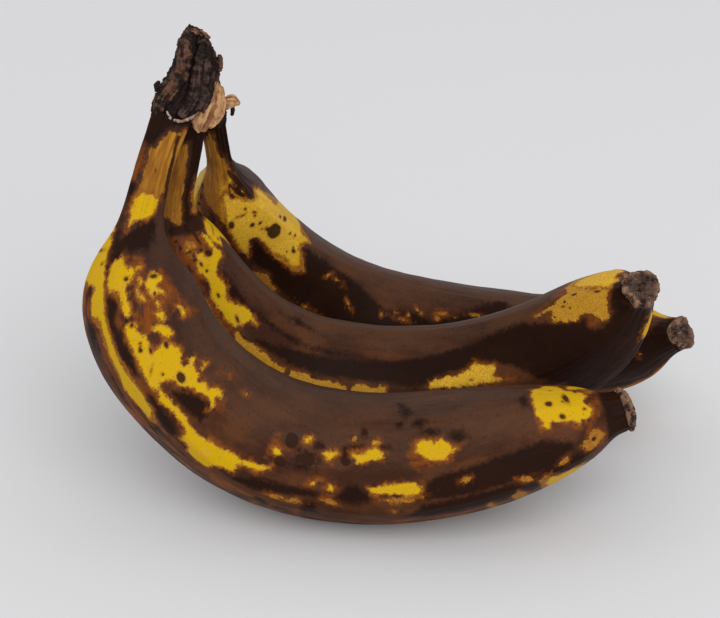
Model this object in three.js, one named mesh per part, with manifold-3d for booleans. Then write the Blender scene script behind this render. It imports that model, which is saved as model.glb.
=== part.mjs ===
// A hand of three overripe plantains, still joined at one dried crown and lying on the bellies
// of the two outer fruits, with the crown raised at the left. Millimetres, +Z up, +X to the tips.
import * as THREE from 'three';
import { mergeVertices } from 'three/addons/utils/BufferGeometryUtils.js';
import Module from 'manifold-3d';

// Driving dimensions
const SEAT = [-15.1, -36.4, 2.4];   // moves the hand over the origin, its lowest flat at z = 0
const AROUND = 24;                  // points round a fruit
const ALONG = 52;                   // sections along a fruit
const CLEARANCE = 0.3;              // between neighbouring pieces
const RIDGE = 0.036;                // height of the five blunt ridges, part of the radius
const SECOND_RIDGE = 0.125;         // sharpens the ridges, part of RIDGE
const SKEW = 0.12;                  // radians by which the ridges crowd to one side
const TIP_DEPTH = 3.4;              // how far the dried blossom end stands out of the skin

// Each fruit: control points of its centre line from neck to tip, a vector that fixes how the
// section is turned, the turn of its ridges, and its profile as [distance from the neck, radius].
const FRUITS = {
  front: {
    line: [[-66.5, 12, 147], [-73.2, 9, 130], [-78.2, 2, 112], [-81.4, -9, 90], [-71.5, -12, 62],
      [-49, -12, 34], [-19, -15, 21], [15, -20, 22], [47, -25, 31], [76, -25, 40], [98, -21, 45]],
    side: [0, -1, -0.25], turn: 0.35,
    profile: [[0, 6.9], [20, 6.4], [36, 6.8], [46, 9], [55, 15.8], [66, 21.2], [80, 22.2],
      [100, 23.2], [130, 24.4], [160, 24.6], [190, 24.4], [215, 23.2], [238, 20.4], [255, 16.2],
      [266, 11.8], [271, 7.6], [279, 7.4]],
  },
  middle: {
    line: [[-61, 18, 143], [-63.5, 20, 125], [-69, 23, 106], [-66, 26, 86], [-57, 31, 63],
      [-43, 37, 41], [-16, 40, 25], [20, 38, 22], [52, 31, 31], [78.5, 24, 47.5], [95, 12, 69],
      [102, -4, 86]],
    side: [0, -1, 0.35], turn: 0.3,
    profile: [[0, 5.8], [20, 5.8], [37, 5.9], [45, 9.5], [53, 14.5], [64, 16.6], [82, 18.9],
      [105, 21.4], [140, 22.2], [180, 22.2], [210, 21.8], [236, 21.4], [257, 19.6], [273, 14.8],
      [282, 10.4], [287, 7], [294, 6.8]],
  },
  back: {
    line: [[-53.6, 26, 139], [-52, 33, 122.5], [-51.5, 50, 99], [-49.5, 72.4, 75],
      [-34, 88, 47.2], [-12, 97.6, 27.2], [15, 98.6, 16.8], [46, 84.4, 18.6], [77, 70, 23.2],
      [105.5, 53.5, 31.5], [125, 37, 46]],
    side: [0, -1, 0.1], turn: 0.3,
    profile: [[0, 4.6], [15, 4], [27, 4.8], [36, 7.6], [48, 13], [62, 17.2], [80, 19.8],
      [105, 21.7], [140, 22.3], [180, 22], [215, 21.5], [245, 20.5], [268, 18.3], [284, 13.8],
      [293, 7.8], [302, 6]],
  },
};

// Where two fruits grow pressed together, both are flat against this plane: point, normal from
// the first to the second, and how far from the neck it reaches.
const PRESSED = { first: 'front', second: 'middle', point: [-63.6, 15.4, 144.7], normal: [6, 6, -4], reach: 14 };

// The dried blossom end: depth and part of the tip's radius, a crusty disc with a raised rim
const TIP_PROFILE = [[0, 0.96], [0.9, 1.05], [2.0, 1.08], [2.9, 1.0], [3.3, 0.84], [2.7, 0.62],
  [2.2, 0.40], [2.5, 0.22], [3.2, 0.12]];
const TIP_AROUND = 20;
const TIP_TILT = 0.12;              // the rim is deeper on two sides, part of the depth
const TIP_CRUMBLE = [0.05, 0.03];   // coarse and fine waves of the rim, part of the radius
const SPIKE = 4.4;                  // the short dry style in the middle

// The dried crown and the torn fibre are shrivelled strands that run down from the torn top to
// the three necks. Each row of a strand is [x, y, z, half width]; flat is its depth over its width.
const CROWN = [
  { name: 'core over the front neck', flat: 1, rows: [[-60, 23.5, 173, 1.4], [-60.5, 22.5, 168, 3.4],
    [-61.5, 20.5, 160, 5.2], [-64, 17, 153, 6.2], [-66.4, 13.2, 147.8, 6.8], [-67.4, 11.8, 144.4, 6.4]] },
  { name: 'core over the middle neck', flat: 1, rows: [[-57, 24, 170, 1.6], [-57, 23.5, 165, 4],
    [-57.8, 22.5, 158, 5.4], [-59.3, 20.5, 151, 6.4], [-60.8, 18.6, 145, 6.8], [-61.2, 18.2, 141, 6.4]] },
  { name: 'core over the back neck', flat: 1, rows: [[-57, 26, 163, 2], [-56.4, 26.2, 157, 4.6],
    [-55, 26.4, 149, 5.8], [-53.8, 26.6, 142, 5.4], [-53.5, 27, 137, 5]] },
  { name: 'wrinkled strip', flat: 0.9, rows: [[-60.1, 23, 176.4, 0.5], [-61, 20.5, 174, 1.5],
    [-62.3, 17.5, 170.7, 2.9], [-62, 15.5, 167.1, 2.9], [-62, 14, 163.9, 2.6], [-63.8, 12.5, 160.8, 2.9],
    [-66.2, 10.8, 157.8, 3.2], [-69, 9.6, 154.6, 3.2], [-70.3, 9.4, 150.8, 2.9], [-70.6, 9.6, 146, 2.2]] },
  { name: 'torn edge', flat: 0.8, rows: [[-60, 23, 175.2, 0.9], [-57.4, 22.6, 173.6, 1.5],
    [-55, 22, 172.2, 1.7], [-53.2, 21.4, 171.3, 0.8]] },
  { name: 'grey lobe', flat: 0.85, rows: [[-56.4, 21.6, 171.4, 1.2], [-54.9, 20.8, 169.4, 2.5],
    [-53.8, 20, 166.8, 2.8], [-54, 19.4, 163.6, 2.1]] },
  { name: 'left strand', flat: 0.75, rows: [[-55.4, 18.6, 169.2, 1.5], [-57.2, 16.4, 164.7, 1.7],
    [-57.1, 13.4, 159.8, 1.9], [-58.2, 10.4, 155, 2.1], [-60.3, 8, 150.7, 2.2], [-63.1, 6.4, 147.9, 1.5]] },
  { name: 'middle strand', flat: 0.75, rows: [[-53.4, 19.4, 168, 1.7], [-54.5, 17.2, 162.8, 1.8],
    [-55.5, 14.8, 157.7, 2.1], [-56.6, 12.2, 153, 2.2], [-58.7, 9.8, 149.1, 2.2], [-60.8, 8.2, 147.1, 1.6]] },
  { name: 'right strand', flat: 0.8, rows: [[-52.2, 21, 164.7, 1.6], [-53, 20, 160.2, 2],
    [-53.7, 18, 155.6, 2.4], [-55.1, 15, 151.5, 2.5], [-57.1, 12, 148.1, 2]] },
  { name: 'finger', flat: 0.9, rows: [[-53, 19.8, 154, 1.2], [-52, 20.6, 157.6, 2],
    [-51, 21.2, 160.8, 2.1], [-50.2, 21.6, 163.4, 1.8], [-49.8, 21.8, 165.4, 0.6]] },
  { name: 'bump', flat: 0.9, rows: [[-70.6, 10, 160, 0.6], [-71.7, 9.6, 158.4, 1.2], [-71.4, 9.4, 156, 0.9]] },
  { name: 'curled lip', flat: 1, rows: [[-68, 7, 149.8, 0.4], [-67.3, 5.6, 147.8, 0.6],
    [-65.1, 5, 146.8, 0.7], [-62.3, 5.4, 146.6, 0.7], [-59.6, 6.8, 147, 0.7], [-57.3, 9.2, 148.6, 0.5]] },
  { name: 'left strand behind', flat: 0.8, rows: [[-60.6, 26.5, 172.5, 1], [-61.8, 27.5, 164, 2.2],
    [-63.4, 25.5, 156, 2.6], [-66.6, 20.8, 149.6, 2.6], [-68.4, 17.4, 146, 1.8]] },
  { name: 'middle strand behind', flat: 0.8, rows: [[-58.4, 28, 172, 1], [-59.4, 31, 163.5, 2.5],
    [-61, 30.5, 155, 3.1], [-63, 27, 147.5, 3.2], [-64.5, 23.6, 141.5, 2]] },
  { name: 'right strand behind', flat: 0.8, rows: [[-54.6, 27.5, 168, 1], [-53.2, 31.5, 160.5, 2.3],
    [-53.8, 33, 152, 2.6], [-54.4, 32.4, 144.5, 2.8], [-55, 31.4, 138.5, 1.8]] },
  { name: 'outer strand behind', flat: 0.8, rows: [[-53, 24.5, 162, 1], [-52.6, 27.5, 156, 1.6],
    [-51.6, 29, 149, 2], [-50.8, 29.4, 142.5, 2], [-50.4, 28.8, 137.5, 1.4]] },
];
const FIBRE = [
  { name: 'backing', flat: 0.4, rows: [[-51.8, 22.2, 155.6, 1.2], [-52.2, 20.6, 150.4, 4],
    [-53.2, 18.8, 145.6, 4.8], [-55, 16.8, 141.6, 3.6], [-56.2, 15.6, 138.6, 1]] },
  { name: 'left shred', flat: 0.75, rows: [[-52.2, 20, 156.8, 1], [-53.1, 18, 152.6, 1.8],
    [-55, 15.2, 148.4, 2.3], [-57.3, 12.4, 145.1, 2.4], [-57.6, 11.6, 142.2, 2], [-57.4, 11.6, 139.8, 0.7]] },
  { name: 'middle shred', flat: 0.75, rows: [[-51.1, 22, 155.4, 0.9], [-51.2, 20.5, 150.1, 2.4],
    [-52.9, 18, 145.7, 3.1], [-55.2, 15.4, 142.4, 2.5], [-56.4, 14.2, 138.9, 0.8]] },
  { name: 'right shred', flat: 0.75, rows: [[-49.9, 24, 152.4, 0.9], [-49.6, 22.8, 147, 2.3],
    [-50.8, 20.8, 142.8, 2.2], [-52, 19.6, 140.2, 0.9]] },
  { name: 'wing', flat: 0.45, rows: [[-51, 21.5, 145.6, 2], [-48.9, 23, 146.2, 2.4],
    [-46.6, 24, 146.6, 2.6], [-44.5, 25, 145.8, 1.8], [-43.3, 25.6, 145, 0.4]] },
  { name: 'dark scrap', flat: 0.7, rows: [[-46.2, 24.2, 146, 1], [-45.8, 25, 143.6, 1],
    [-46.3, 25.6, 140.6, 0.6]] },
];
const STRAND = { along: 9, around: 10, side: [0, -1, 0] };

const COLOURS = {
  skin: { color: 0x4a3422, roughness: 0.42 },
  crown: { color: 0x2b1a14, roughness: 0.85 },
  fibre: { color: 0xa8865a, roughness: 0.9 },
  tip: { color: 0x4b423c, roughness: 0.9 },
};

const wasm = await Module();
wasm.setup();

const V = (a) => new THREE.Vector3(a[0], a[1], a[2]);
const clamp01 = (x) => Math.min(1, Math.max(0, x));

// Uniform cubic B-spline through n points, its end points carried on straight.
function splinePoint(points, t) {
  const n = points.length - 1;
  const at = (i) => {
    if (i < 0) return V(points[0]).multiplyScalar(2).sub(V(points[1]));
    if (i > n) return V(points[n]).multiplyScalar(2).sub(V(points[n - 1]));
    return V(points[i]);
  };
  const x = clamp01(t) * n, i = Math.min(Math.floor(x), n - 1), f = x - i;
  const w = [(1 - f) ** 3, 3 * f ** 3 - 6 * f * f + 4, -3 * f ** 3 + 3 * f * f + 3 * f + 1, f ** 3];
  const p = new THREE.Vector3();
  w.forEach((k, j) => p.addScaledVector(at(i - 1 + j), k / 6));
  return p;
}

// Straight-line look-up of y at x in two rising lists.
function lookUp(xs, ys, x) {
  let lo = 0, hi = xs.length - 1;
  if (x <= xs[0]) return ys[0];
  if (x >= xs[hi]) return ys[hi];
  while (hi - lo > 1) {
    const m = (lo + hi) >> 1;
    if (xs[m] <= x) lo = m; else hi = m;
  }
  return ys[lo] + ((x - xs[lo]) / (xs[hi] - xs[lo])) * (ys[hi] - ys[lo]);
}

// A fruit's centre line measured by length, with its radius and section frame at any distance
// from the neck. The radius is a B-spline through the profile.
function centreLine(fruit) {
  const steps = 1200, lengths = [0], parameters = [0], distances = [], radii = [];
  let last = splinePoint(fruit.line, 0);
  for (let i = 1; i <= steps; i++) {
    const p = splinePoint(fruit.line, i / steps);
    lengths.push(lengths[i - 1] + p.distanceTo(last));
    parameters.push(i / steps);
    last = p;
  }
  const profile = fruit.profile.map(([s, r]) => [s, r, 0]);
  for (let i = 0; i <= steps; i++) {
    const p = splinePoint(profile, i / steps);
    distances.push(p.x);
    radii.push(p.y);
  }
  const length = lengths[steps], reach = 0.8;
  const point = (s) => splinePoint(fruit.line, lookUp(lengths, parameters, s));
  const frame = (s) => {
    const tangent = point(Math.min(length, s + reach)).sub(point(Math.max(0, s - reach))).normalize();
    return { centre: point(s), ...crossDirections(tangent, fruit.side) };
  };
  const radius = (s) => lookUp(distances, radii, s);
  return { length, frame, radius };
}

// The two directions of a section: side, near the given vector, and out, square to it.
function crossDirections(tangent, near) {
  const side = V(near);
  side.addScaledVector(tangent, -side.dot(tangent)).normalize();
  return { tangent, side, out: new THREE.Vector3().crossVectors(tangent, side) };
}

// One section of a fruit: a rounded five-sided ring, with some extra width if asked for.
function ring(fruit, axis, s, extra = 0) {
  const { centre, side, out } = axis.frame(s), points = [];
  for (let j = 0; j < AROUND; j++) {
    const a = (j / AROUND) * 2 * Math.PI, phi = a - fruit.turn;
    const skewed = phi + SKEW * Math.sin(phi);
    const k = (axis.radius(s) + extra)
      * (1 + RIDGE * (Math.cos(5 * skewed) + SECOND_RIDGE * Math.cos(10 * skewed)));
    points.push(centre.clone().addScaledVector(out, k * Math.cos(a))
      .addScaledVector(side, k * Math.sin(a)));
  }
  return points;
}

// A closed body through a list of rings, each end closed to its own middle or a given point.
function loft(rings, first, last) {
  const n = rings[0].length, positions = [], index = [];
  const middle = (list) => list.reduce((m, p) => m.add(p), new THREE.Vector3())
    .multiplyScalar(1 / list.length);
  rings.flat().forEach((p) => positions.push(p.x, p.y, p.z));
  const a = first || middle(rings[0]), b = last || middle(rings[rings.length - 1]);
  positions.push(a.x, a.y, a.z, b.x, b.y, b.z);
  const start = rings.length * n, end = start + 1, top = (rings.length - 1) * n;
  for (let j = 0; j < n; j++) {
    const k = (j + 1) % n;
    for (let i = 0; i < rings.length - 1; i++) {
      const q = i * n;
      index.push(q + j, q + k, q + n + k, q + j, q + n + k, q + n + j);
    }
    index.push(start, k, j, end, top + j, top + k);
  }
  const geometry = new THREE.BufferGeometry();
  geometry.setAttribute('position', new THREE.Float32BufferAttribute(positions, 3));
  geometry.setIndex(index);
  if (volume(geometry) < 0) {
    for (let i = 0; i < index.length; i += 3) [index[i + 1], index[i + 2]] = [index[i + 2], index[i + 1]];
    geometry.setIndex(index);
  }
  return geometry;
}

function volume(geometry) {
  const p = geometry.getAttribute('position'), t = geometry.getIndex().array;
  const [a, b, c] = [new THREE.Vector3(), new THREE.Vector3(), new THREE.Vector3()];
  let sum = 0;
  for (let i = 0; i < t.length; i += 3) {
    a.fromBufferAttribute(p, t[i]);
    b.fromBufferAttribute(p, t[i + 1]);
    c.fromBufferAttribute(p, t[i + 2]);
    sum += a.dot(b.cross(c)) / 6;
  }
  return sum;
}

function solid(geometry) {
  const g = mergeVertices(geometry, 1e-4);
  return new wasm.Manifold(new wasm.Mesh({
    numProp: 3,
    vertProperties: new Float32Array(g.getAttribute('position').array),
    triVerts: new Uint32Array(g.getIndex().array),
  }));
}

function geometryOf(body) {
  const mesh = body.getMesh(), g = new THREE.BufferGeometry();
  g.setAttribute('position', new THREE.Float32BufferAttribute(new Float32Array(mesh.vertProperties), 3));
  g.setIndex(Array.from(mesh.triVerts));
  return g;
}

// Keeps a fruit flat where it lies on the table and where it grows pressed to its neighbour.
function settle(name, rings, distances) {
  const floor = -SEAT[2], pressed = name === PRESSED.first || name === PRESSED.second;
  const away = name === PRESSED.first ? 1 : -1;
  const normal = V(PRESSED.normal).normalize().multiplyScalar(away);
  rings.forEach((list, i) => list.forEach((p) => {
    if (pressed && distances[i] < PRESSED.reach) {
      const over = p.clone().sub(V(PRESSED.point)).dot(normal) + CLEARANCE / 2;
      if (over > 0) p.addScaledVector(normal, -over);
    }
    p.z = Math.max(p.z, floor);
  }));
  return rings;
}

function fruitBody(name, fruit, axis) {
  const end = axis.length - TIP_DEPTH, crowding = 0.06, distances = [];
  for (let i = 0; i < ALONG; i++) {
    const t = i / (ALONG - 1);
    distances.push(end * (t - crowding * Math.sin(2 * Math.PI * t) / Math.PI));
  }
  return loft(settle(name, distances.map((s) => ring(fruit, axis, s)), distances));
}

// The room that a neck takes up in the crown and the fibre, a little wider than the neck.
function socket(fruit, axis) {
  const reach = [0, 4, 8, 12, 16, 20], extra = CLEARANCE + 0.05;
  const rings = reach.map((s) => ring(fruit, axis, s, extra));
  const { tangent } = axis.frame(0);
  const top = rings[0].map((p) => p.clone().addScaledVector(tangent, -CLEARANCE));
  return solid(loft([top, ...rings]));
}

function blossomEnd(fruit, axis) {
  const end = axis.length - TIP_DEPTH;
  const { centre, tangent, side, out } = axis.frame(end), radius = axis.radius(axis.length);
  const rings = TIP_PROFILE.map(([depth, part], i) => {
    const list = [];
    for (let j = 0; j < TIP_AROUND; j++) {
      const a = (j / TIP_AROUND) * 2 * Math.PI;
      const waves = TIP_CRUMBLE[0] * Math.sin(3 * a + 1.3 * i) + TIP_CRUMBLE[1] * Math.sin(7 * a + 2.1 * i);
      const r = radius * part * (1 + waves);
      list.push(centre.clone()
        .addScaledVector(tangent, CLEARANCE + depth * (1 + TIP_TILT * Math.sin(2 * a)))
        .addScaledVector(out, r * Math.cos(a)).addScaledVector(side, r * Math.sin(a)));
    }
    return list;
  });
  const spike = centre.clone().addScaledVector(tangent, SPIKE).addScaledVector(out, CLEARANCE);
  return loft(rings, null, spike);
}

// A strand: oval rings along a B-spline, with its half width given in each row.
function strand({ rows, flat }, extra = 0) {
  const widths = rows.map((row) => [row[3], 0, 0]), rings = [], step = 0.02;
  for (let i = 0; i < STRAND.along; i++) {
    const t = i / (STRAND.along - 1), centre = splinePoint(rows, t), list = [];
    const tangent = splinePoint(rows, t + step).sub(splinePoint(rows, t - step)).normalize();
    const { side, out } = crossDirections(tangent, STRAND.side);
    const across = splinePoint(widths, t).x + extra, deep = across * flat + extra * (1 - flat);
    for (let j = 0; j < STRAND.around; j++) {
      const a = (j / STRAND.around) * 2 * Math.PI;
      list.push(centre.clone().addScaledVector(out, across * Math.cos(a))
        .addScaledVector(side, deep * Math.sin(a)));
    }
    rings.push(list);
  }
  return solid(loft(rings));
}

function largest(body) {
  const parts = body.decompose();
  return parts.reduce((best, p) => (p.volume() > best.volume() ? p : best), parts[0]);
}

const hand = new THREE.Group();

function addPiece(name, geometry, look) {
  geometry.computeVertexNormals();
  const material = new THREE.MeshStandardMaterial({ ...look, metalness: 0 });
  const mesh = new THREE.Mesh(geometry, material);
  mesh.name = name;
  hand.add(mesh);
}

const sockets = [];
for (const [name, fruit] of Object.entries(FRUITS)) {
  const axis = centreLine(fruit);
  addPiece(`plantain_${name}`, fruitBody(name, fruit, axis), COLOURS.skin);
  addPiece(`tip_${name}`, blossomEnd(fruit, axis), COLOURS.tip);
  sockets.push(socket(fruit, axis));
}

const joined = (bodies) => bodies.reduce((sum, body) => sum.add(body));
const necks = joined(sockets);
const fibre = joined(FIBRE.map((shred) => strand(shred))).subtract(necks);
const fibreRoom = joined(FIBRE.map((shred) => strand(shred, CLEARANCE)));
const crown = joined(CROWN.map((part) => strand(part))).subtract(necks).subtract(fibreRoom);
addPiece('crown', geometryOf(largest(crown)), COLOURS.crown);
addPiece('torn_fibre', geometryOf(largest(fibre)), COLOURS.fibre);

hand.position.set(SEAT[0], SEAT[1], SEAT[2]);

export default hand;
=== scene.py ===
# A hand of three overripe plantains joined at a dried crown, lying on a pale surface.
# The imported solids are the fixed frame; each piece here is a finer surface in the same place.
import math

import bpy
import numpy as np
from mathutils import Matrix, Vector


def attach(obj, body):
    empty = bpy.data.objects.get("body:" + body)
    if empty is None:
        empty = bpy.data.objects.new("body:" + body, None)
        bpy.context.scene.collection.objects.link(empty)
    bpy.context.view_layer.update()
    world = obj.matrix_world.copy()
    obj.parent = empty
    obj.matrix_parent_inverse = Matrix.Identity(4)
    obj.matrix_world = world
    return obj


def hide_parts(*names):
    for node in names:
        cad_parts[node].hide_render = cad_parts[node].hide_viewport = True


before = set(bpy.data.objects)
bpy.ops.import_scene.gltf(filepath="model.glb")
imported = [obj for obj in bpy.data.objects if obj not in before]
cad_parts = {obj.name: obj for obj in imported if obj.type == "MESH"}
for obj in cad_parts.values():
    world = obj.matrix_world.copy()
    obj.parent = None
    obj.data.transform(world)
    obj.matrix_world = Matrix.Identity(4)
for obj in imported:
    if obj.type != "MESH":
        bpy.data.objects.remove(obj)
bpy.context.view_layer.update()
print("frame loaded:", len(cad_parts), "solids")

mm = 0.001
fullTurn = 2 * math.pi
seat = np.array([-15.1, -36.4, 2.4])  # moves the hand so that its lowest flat is at z = 0


# Curves, noise and meshes

def colour(*rgb):
    # display values c made linear: ((c + 0.055) / 1.055) ^ 2.4, the darkest c / 12.92
    return tuple(((c / 255 + 0.055) / 1.055) ** 2.4 if c > 10 else c / 255 / 12.92 for c in rgb) + (1,)


def splinePoint(points, t):
    # uniform cubic B-spline: each point is four neighbours weighted by the cubic basis,
    # with the two end points carried on straight
    p = np.asarray(points, float)
    q = np.vstack([2 * p[0] - p[1], p, 2 * p[-1] - p[-2]])
    spans = len(p) - 1
    x = np.clip(t, 0, 1) * spans
    i = np.minimum(x.astype(int), spans - 1)
    f = (x - i)[:, None]
    return ((1 - f) ** 3 * q[i] + (3 * f ** 3 - 6 * f ** 2 + 4) * q[i + 1]
            + (-3 * f ** 3 + 3 * f ** 2 + 3 * f + 1) * q[i + 2] + f ** 3 * q[i + 3]) / 6


def lineByLength(points, steps=2400):
    # the curve's length is summed over short chords, then turned round to give t from length
    t = np.linspace(0, 1, steps)
    chords = np.linalg.norm(np.diff(splinePoint(points, t), axis=0), axis=1)
    length = np.r_[0, np.cumsum(chords)]
    return lambda s: splinePoint(points, np.interp(s, length, t)), length[-1]


def latticeValue(cell, seed):
    # whole-number hash of a lattice corner, spread over 0 to 1
    h = (cell[..., 0] * 73856093) ^ (cell[..., 1] * 19349663) ^ (cell[..., 2] * 83492791)
    h = h ^ (seed * 2654435)
    h = (h ^ (h >> 13)) * 1274126177
    h = (h ^ (h >> 16)) & 0xFFFFFF
    return h / 0xFFFFFF


def softNoise(points, size, seed):
    # corner values of a cube lattice blended by 6f^5 - 15f^4 + 10f^3, from -1 to 1; each seed
    # reads another part of the lattice
    q = np.asarray(points, float) / size + 31.7 * seed
    base = np.floor(q).astype(np.int64)
    f = q - base
    w = f ** 3 * (f * (6 * f - 15) + 10)
    total = np.zeros(q.shape[:-1])
    for corner in np.ndindex(2, 2, 2):
        share = np.prod(np.where(corner, w, 1 - w), axis=-1)
        total += share * latticeValue(base + np.array(corner), seed)
    return 2 * total - 1


def roughNoise(points, size, seed, layers=3):
    # layers of soft noise, each half as wide and half as high as the last
    return sum(softNoise(points, size / 2 ** k, seed + k) / 2 ** k for k in range(layers))


def unit(v):
    # each vector over its length
    return v / np.maximum(np.linalg.norm(v, axis=-1, keepdims=True), 1e-12)


def ringAngles(count):
    # equal steps round a full turn
    return np.arange(count) / count * fullTurn


def gridNormals(points):
    # cross product of the steps along the rows and round the rings, turned away from the middle
    along = np.gradient(points, axis=0)
    around = np.roll(points, -1, 1) - np.roll(points, 1, 1)
    normal = unit(np.cross(along, around))
    away = points - points.mean(axis=1, keepdims=True)
    return normal * np.where((normal * away).sum(-1) < 0, -1, 1)[..., None]


def closedTube(points, ends):
    # vertices and faces of a tube of rings: quads between the rings, a fan to one point at each end
    rows, count = points.shape[:2]
    i, j = np.meshgrid(np.arange(rows - 1), np.arange(count), indexing="ij")
    k = (j + 1) % count
    quads = np.stack([i * count + j, i * count + k, (i + 1) * count + k, (i + 1) * count + j], -1)
    ring = np.arange(count)
    step = (ring + 1) % count
    lastRow = (rows - 1) * count
    first = np.stack([np.full(count, rows * count), step, ring], -1)
    last = np.stack([np.full(count, rows * count + 1), lastRow + ring, lastRow + step], -1)
    return np.vstack([points.reshape(-1, 3), *ends]), quads.reshape(-1, 4), np.vstack([first, last])


def addObject(name, data):
    thing = bpy.data.objects.new(name, data)
    bpy.context.scene.collection.objects.link(thing)
    return thing


def addLayer(mesh, label, values):
    # one value or one vector for each point
    kind, field = ("FLOAT_VECTOR", "vector") if values.shape[1] == 3 else ("FLOAT", "value")
    layer = mesh.attributes.new(label, kind, "POINT")
    layer.data.foreach_set(field, values.astype(np.float32).ravel())


def addPiece(name, mesh, node):
    # a smooth piece that stands for one solid
    mesh.shade_smooth()
    piece = addObject(name, mesh)
    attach(piece, "root")
    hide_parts(node)
    return piece


def tubePiece(name, node, points, ends, fields):
    # a closed tube whose faces are turned outward, where its volume is positive
    vertices, quads, fans = closedTube(points + seat, [end + seat for end in ends])
    a, b, c, d = (vertices[quads[:, n]] for n in range(4))
    if (a * np.cross(b, c)).sum() + (a * np.cross(c, d)).sum() < 0:
        quads, fans = quads[:, ::-1], fans[:, ::-1]
    mesh = bpy.data.meshes.new(name)
    mesh.from_pydata((vertices * mm).tolist(), [], quads.tolist() + fans.tolist())
    count = points.shape[1]
    for label, values in fields.items():
        flat = values.reshape(points.shape[0] * count, -1)
        addLayer(mesh, label, np.vstack([flat, flat[:count].mean(0), flat[-count:].mean(0)]))
    return addPiece(name, mesh, node)


# The fruits

skinShape = {
    "along": 380,             # sections from neck to tip
    "around": 240,            # points round a section
    "gather": 0.04,           # share of the length, sets sections closer at both ends
    "ridge": 0.036,           # height of the five blunt ridges, part of the radius
    "flatSide": 0.125,        # part of the ridge height, flattens the sides between the ridges
    "uneven": 0.12,           # radians, unequal spacing of the ridges
    "crest": 0.30,            # mm, the narrow line along each ridge
    "crestWidth": 0.05,       # fall of cos 5a over the crest's half width
    "swell": (0.45, 26),      # mm of height and size, slow unevenness of the belly
    "dent": (0.16, 7),        # mm of height and size, small dents of soft skin
    "dentStretch": 0.6,       # below 1 draws the dents out lengthwise
    "wrinkle": 0.22,          # mm, lengthwise creases at the neck and tip
    "wrinkles": 17,           # creases round a section
    "wander": 2.2,            # radians, how far a crease wanders
    "wanderStretch": 0.25,    # below 1 makes it wander more slowly
    "chord": 0.8,             # mm, half the chord from which a tangent is taken
    "neckReach": 34,          # mm
    "tipReach": 14,           # mm
    "tipDepth": 3.4,          # mm, how far the blossom end stands out
    "clearance": 0.3,         # mm between the necks
    "farthest": 6.0,          # mm, how far from a marking's edge its depth is followed
    "marks": ("yellow", "gold", "amber", "rust", "black", "spots"),
}

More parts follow.
